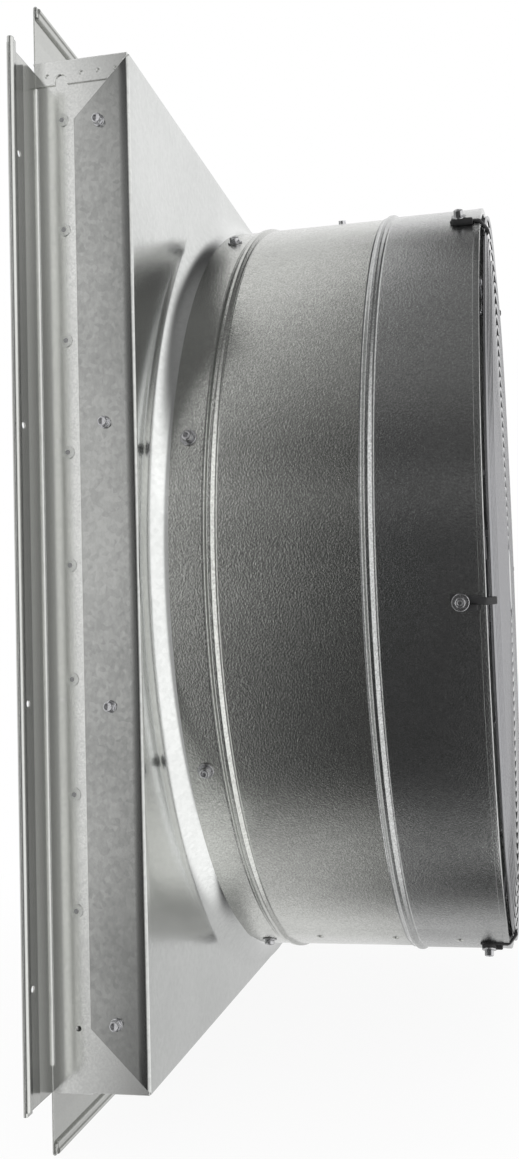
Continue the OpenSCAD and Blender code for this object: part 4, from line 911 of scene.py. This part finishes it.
# Domes, a quarter ellipse turned round, in the middle of the drum's lap seam
def makeSeamRivets():
    angle = drum["seamAngle"] + drum["seamSweep"] / 2
    r, h = seamRivet["head"], seamRivet["high"]
    dome = [(r * math.cos(t), h * math.sin(t)) for t in np.radians([0, 20, 40, 60, 80])]
    shapes = []
    for x in seamRivet["xs"]:
        base = drum["rimRadius"] if x > drum["bead2"] else drum["radius"]
        shapes.append(standing(lathe([(0.9 * r, -0.3 * mm)] + dome, 24), x, angle, base + drum["wall"]))
    buildPiece("seamRivets", shapes, drumSteel, ("seam_rivets",), crease=35)


makeSeamRivets()
print("fasteners ready")

guard = {
    "outer": 389.6 * mm, "x": rimHigh[0] + 3.6 * mm, "pitch": 11 * mm, "rings": 32,
    "edgeWire": 1.6 * mm, "wire": 1.25 * mm, "rise": 3.5 * mm, "dome": 2.0 * mm, "steepRings": 5,
    "segments": (60, 300), "wireSides": 10,     # fewest round a ring, and those round the edge ring
    "plate": 34 * mm, "plateHigh": 1.5 * mm, "plateLap": 14 * mm, "weld": 0.3 * mm,
    "spokes": 12, "spokeWire": 2.0 * mm, "spokeFirst": 9.1, "spokeKnee": (62 * mm, 55 * mm),
    "spokePoints": (12, 10),                    # along its flat stretch and its steep one
}


# How far the guard stands out at a radius: steep over its outer rings, then a gentle dome
def guardRise(r):
    knee = guard["outer"] - guard["steepRings"] * guard["pitch"]
    edge = guard["rise"] * (guard["outer"] - r) / (guard["outer"] - knee)
    return np.where(r > knee, edge, guard["rise"] + guard["dome"] * (1 - r / knee))


# Rings a pitch apart from the edge inwards, and a round plate in the middle with a stepped face
def makeGuardRings():
    shapes = []
    fewest, most = guard["segments"]
    for k in range(guard["rings"]):
        r = guard["outer"] - k * guard["pitch"]
        wire = guard["edgeWire"] if k == 0 else guard["wire"]
        around = max(fewest, int(most * r / guard["outer"]))
        shapes.append(wireRing(guard["x"] + float(guardRise(r)), r, wire, around, guard["wireSides"]))
    r, t = guard["plate"], guard["plateHigh"]
    plate = lathe([(r - 0.4 * mm, 0), (r, 0.4 * mm), (r, t - 0.5 * mm), (r - 0.5 * mm, t), (r - 4 * mm, t),
                   (r - 6 * mm, t)], 64)
    ahead = np.array([[0, 1, 0], [0, 0, 1], [1, 0, 0]])
    shapes.append(moved(plate, ahead, (boxOf("guard_rings")[1][0] - t, 0, 0)))
    buildPiece("guardRings", shapes, wireZinc, ("guard_rings",))


# Wires from under the plate to the edge ring, each swept along the rings' backs
def makeGuardSpokes():
    wire = guard["spokeWire"]
    low = guard["x"] - guard["wire"] - wire + guard["weld"]
    inner, outer = (guard["outer"] - way for way in guard["spokeKnee"])
    few, steep = guard["spokePoints"]
    r = np.concatenate([np.linspace(guard["plate"] - guard["plateLap"], inner, few),
                        np.linspace(outer, guard["outer"], steep)])
    ahead = np.array([1.0, 0, 0])
    section = roundedRectangle(2 * wire, 2 * wire, wire * 0.999, 5)[:-1]
    shapes = []
    for k in range(guard["spokes"]):
        out = drumBasis(guard["spokeFirst"] + k * 360 / guard["spokes"])[2]
        path = r[:, None] * out + (low + guardRise(r))[:, None] * ahead
        shapes.append(swept(path, section, ahead))
    buildPiece("guardSpokes", shapes, wireZinc, ("guard_spokes",), crease=50)


clip = {
    "count": 6, "first": -5.9, "screwX": 336 * mm, "tail": 8 * mm, "gap": 0.15 * mm,
    "wall": 2.4 * mm, "leaf": 6 * mm, "slant": 4 * mm, "round": 0.7 * mm, "wireEnd": -235.0,
    "width": 14 * mm, "block": 3.2 * mm, "tooth": 5 * mm, "ahead": 13 * mm, "toothRound": 1.0 * mm,
}
clipScrew = {
    "washer": 7.0 * mm, "washerHigh": 1.5 * mm, "washerEdge": (0.25 * mm, 0.3 * mm, 0.35 * mm),
    "head": 4.4 * mm, "headHigh": 5.5 * mm, "shank": 2.5 * mm, "nut": 5.6 * mm, "nutHigh": 5.0 * mm,
    "depth": clip["gap"] + clip["wall"] + clip["block"] + drum["wall"],
}


# Middle line of a clip's leaf in x and radius: along the drum, in an arc over the rim's corner, straight to
# the edge wire and in an arc round it
def clipLine():
    foldX, foldR = rimHigh[0] - drum["rimFold"], drum["rimRadius"] - drum["rimFold"]
    over = drum["rimFold"] + clip["gap"] + clip["wall"] / 2
    loop = guard["edgeWire"] + clip["gap"] + clip["wall"] / 2
    dx, dr = guard["x"] - foldX, foldR - guard["outer"]
    turn = math.degrees(math.atan2(dr, dx) + math.asin((over - loop) / math.hypot(dx, dr)))
    start = np.array([[clip["screwX"] - clip["tail"], drum["rimRadius"] + clip["gap"] + clip["wall"] / 2]])
    top = arc((foldX, foldR), over, 90, 90 - turn, 9)
    wire = arc((guard["x"], guard["outer"]), loop, 90 - turn, clip["wireEnd"], 30)
    return np.concatenate([start, top, wire])


# Each clip is a leaf swept along its line with a slant across the drum, a round pad under the screw, and a
# tooth lofted from rounded rectangles beside the leaf
def makeGuardClips():
    line = clipLine()
    ahead = (line[:, 0] - clip["screwX"]) / (rimHigh[0] - clip["screwX"])
    slant = clip["slant"] * (1 - np.clip(ahead, 0, 1))
    path = np.stack([line[:, 0], slant, line[:, 1]], -1)
    leaf = swept(path, roundedRectangle(clip["leaf"], clip["wall"], clip["round"], 3), np.array([0, 0, 1.0]))
    low, r = drum["rimRadius"] + clip["gap"], clip["width"] / 2
    high = low + clip["wall"] + clip["block"]
    disc = lathe([(r - 0.3 * mm, low), (r, low + 0.3 * mm), (r, high - 0.5 * mm), (r - 0.5 * mm, high)], 40)
    pad = moved(disc, origin=(clip["screwX"], 0, 0))
    rings = []
    for inset, z in ((0.3 * mm, low), (0, low + 0.3 * mm), (0, high - 0.7 * mm), (0.7 * mm, high)):
        outline = roundedRectangle(clip["ahead"] - 2 * inset, clip["tooth"] - 2 * inset, clip["toothRound"])
        outline += (clip["screwX"] + clip["ahead"] / 2, clip["tooth"] / 2 - r)
        rings.append(np.column_stack([outline, np.full(len(outline), z)]))
    tooth = loft(rings)
    bolt = boltUnder(hexHead(clipScrew), clipScrew)
    rubber, steel = [], []
    for k in range(clip["count"]):
        basis = drumBasis(clip["first"] + 360 / clip["count"] * k)
        rubber += [moved(shape, basis) for shape in (leaf, pad, tooth)]
        steel += [moved(moved(shape, origin=(clip["screwX"], 0, high)), basis) for shape in bolt]
    buildPiece("guardClips", rubber, clipRubber, ("guard_clips",), crease=45)
    buildPiece("clipScrews", steel, boltZinc, ("clip_screws",), crease=32)


makeGuardRings()
makeGuardSpokes()
makeGuardClips()
print("guard ready")

blade = {
    "x": 163 * mm, "root": 72 * mm, "tip": boxOf("fan_blades")[1][1], "corner": 36 * mm,
    "rootChord": 110 * mm, "tipChord": 190 * mm, "rootPitch": 34.0, "tipPitch": 19.0,
    "camber": 7 * mm, "wall": 1.8 * mm, "edge": 0.35, "count": 4, "rows": 26, "cornerRows": 12, "across": 33,
    "armIn": 16 * mm, "armOut": 165 * mm, "armShare": 0.34, "armGap": 0.4 * mm, "armWall": 3.5 * mm,
    "armRows": 24,
}
hub = {"bore": 7.99 * mm, "boss": 24 * mm, "bevel": 3 * mm, "shoulder": (1.2 * mm, 0.8 * mm), "sides": 64}


# A blade's surface: chord and pitch change evenly with radius, the chord's ends are rounded at the tip,
# and the camber is a parabola across the chord
def bladeSurface(r, u, off):
    share = np.maximum(0, (r - blade["root"]) / (blade["tip"] - blade["root"]))
    into = np.clip(r - blade["tip"] + blade["corner"], 0, blade["corner"])
    cut = 2 * (blade["corner"] - np.sqrt(blade["corner"] ** 2 - into ** 2))
    chord = blade["rootChord"] + (blade["tipChord"] - blade["rootChord"]) * share - cut
    pitch = np.radians(blade["rootPitch"] + (blade["tipPitch"] - blade["rootPitch"]) * share)
    across = u * chord * np.cos(pitch) / r
    x = blade["x"] + u * chord * np.sin(pitch) + blade["camber"] * (1 - 4 * u * u) + off
    return np.stack([x, r * np.cos(across), r * np.sin(across)], -1)


# A twisted plate over rows of radii and a share of the chord, thinner along its edges
def twistedPlate(rows, share, low, high):
    u = -share / 2 * np.cos(np.linspace(0, np.pi, blade["across"]))
    r, u = np.meshgrid(rows, u, indexing="ij")
    edge = np.ones_like(r)
    edge[:, [0, -1]] = edge[[0, -1], :] = blade["edge"]
    middle, half = (low + high) / 2, (high - low) / 2
    return plateBetween(bladeSurface(r, u, middle + half * edge), bladeSurface(r, u, middle - half * edge))


# One copy of a shape for each blade, turned about the fan axis by equal angles
def aroundAxis(shape):
    return [moved(shape, drumBasis(90 - k * 360 / blade["count"])) for k in range(blade["count"])]


# The blades, and the hub: arms that lie a gap off the blades, on a bored boss with stepped ends
def makeBlades():
    corner = blade["tip"] - blade["corner"] * (1 - np.sin(np.linspace(0, np.pi / 2, blade["cornerRows"])))
    straight = np.linspace(blade["root"], blade["tip"] - blade["corner"], blade["rows"])
    rows = np.concatenate([straight[:-1], corner])
    wall, gap = blade["wall"] / 2, blade["wall"] / 2 + blade["armGap"]
    plates = aroundAxis(twistedPlate(rows, 1.0, -wall, wall))
    buildPiece("fanBlades", plates, bladeSteel, ("fan_blades",), "rotor", crease=50)
    rows = np.linspace(blade["armIn"], blade["armOut"], blade["armRows"])
    arm = twistedPlate(rows, blade["armShare"], gap, gap + blade["armWall"])
    low, high = (end[0] for end in boxOf("fan_hub"))
    boss, bevel, (step, drop) = hub["boss"], hub["bevel"], hub["shoulder"]
    outline = [(low, hub["bore"]), (low, boss - bevel), (low + step, boss - drop), (low + bevel, boss),
               (high - bevel, boss), (high - step, boss - drop), (high, boss - bevel), (high, hub["bore"])]
    shapes = [turnedShell(outline, ringAngles(hub["sides"])), *aroundAxis(arm)]
    buildPiece("fanHub", shapes, hubPaint, ("fan_hub",), "rotor", crease=50)


makeBlades()
print("propeller ready")

louver = {
    "x": 22.8 * mm, "pitch": 92.5 * mm, "count": 8, "half": 413.8 * mm, "rod": 2.0 * mm, "wall": 0.8 * mm,
    "kick": 5 * mm, "drop": 96.5 * mm, "hem": 1.1 * mm, "ribHalf": 3.2 * mm, "ribHigh": 1.6 * mm,
    "armRoot": 3.6 * mm, "armLong": 24 * mm, "armEnd": 4 * mm, "armY": 1.3 * mm, "armWall": 1.5 * mm,
    "curlPoints": 18, "leafPoints": 60, "hemPoints": 12, "stations": 25,
}


# Height of a louver's pivot: rows a pitch apart, downwards from the top
def rowHeight(k):
    return (louver["count"] / 2 - k) * louver["pitch"]


# Middle line of a louver in x and z about its pivot: a curl round the rod, the leaf with a round rib at
# half height, and a hem turned back along the lower edge
def louverLine():
    wall = louver["wall"]
    curl = arc((0, 0), louver["rod"] + wall / 2, -75, 180, louver["curlPoints"])
    top, foot = curl[-1], np.array([-louver["kick"], -louver["drop"]])
    t = np.linspace(0, 1, louver["leafPoints"])[1:]
    leaf = top + (foot - top) * t[:, None]
    bump = np.sqrt(np.clip(1 - ((t - 0.5) * louver["drop"] / louver["ribHalf"]) ** 2, 0, None))
    leaf[:, 0] -= louver["ribHigh"] * bump
    hem = arc(foot + np.array([louver["hem"], 0]), louver["hem"], 180, 400, louver["hemPoints"])[1:]
    return np.concatenate([curl, leaf, hem])


# An outline in x and z about a louver's pivot, repeated at pairs of a scale and a y
def louverLoft(k, outline, stations):
    return loft([np.stack([outline[:, 0] * s + louver["x"], np.full(len(outline), y),
                           outline[:, 1] * s + rowHeight(k)], -1) for s, y in stations])


# A folded leaf over the box's whole width, and a flat arm with round ends and a bevelled edge
def makeLouver(k):
    leaf = walled(louverLine(), louver["wall"])
    near, far = louver["armY"], louver["armY"] + louver["armWall"]
    arm = np.concatenate([arc((0, 0), louver["armRoot"], 90, 270, 13),
                          arc((louver["armLong"], 0), louver["armEnd"], -80, 80, 11)])
    across = np.linspace(-louver["half"], louver["half"], louver["stations"])
    shapes = [louverLoft(k, leaf, [(1, y) for y in across]),
              louverLoft(k, arm, [(0.985, near), (1, near + 0.2 * mm), (1, far - 0.2 * mm), (0.985, far)])]
    buildPiece(f"louverLeaf{k + 1}", shapes, louverAluminium, (f"louver_{k + 1}",), f"shutter_{k + 1}")


for k in range(louver["count"]):
    makeLouver(k)
print("louvers ready")
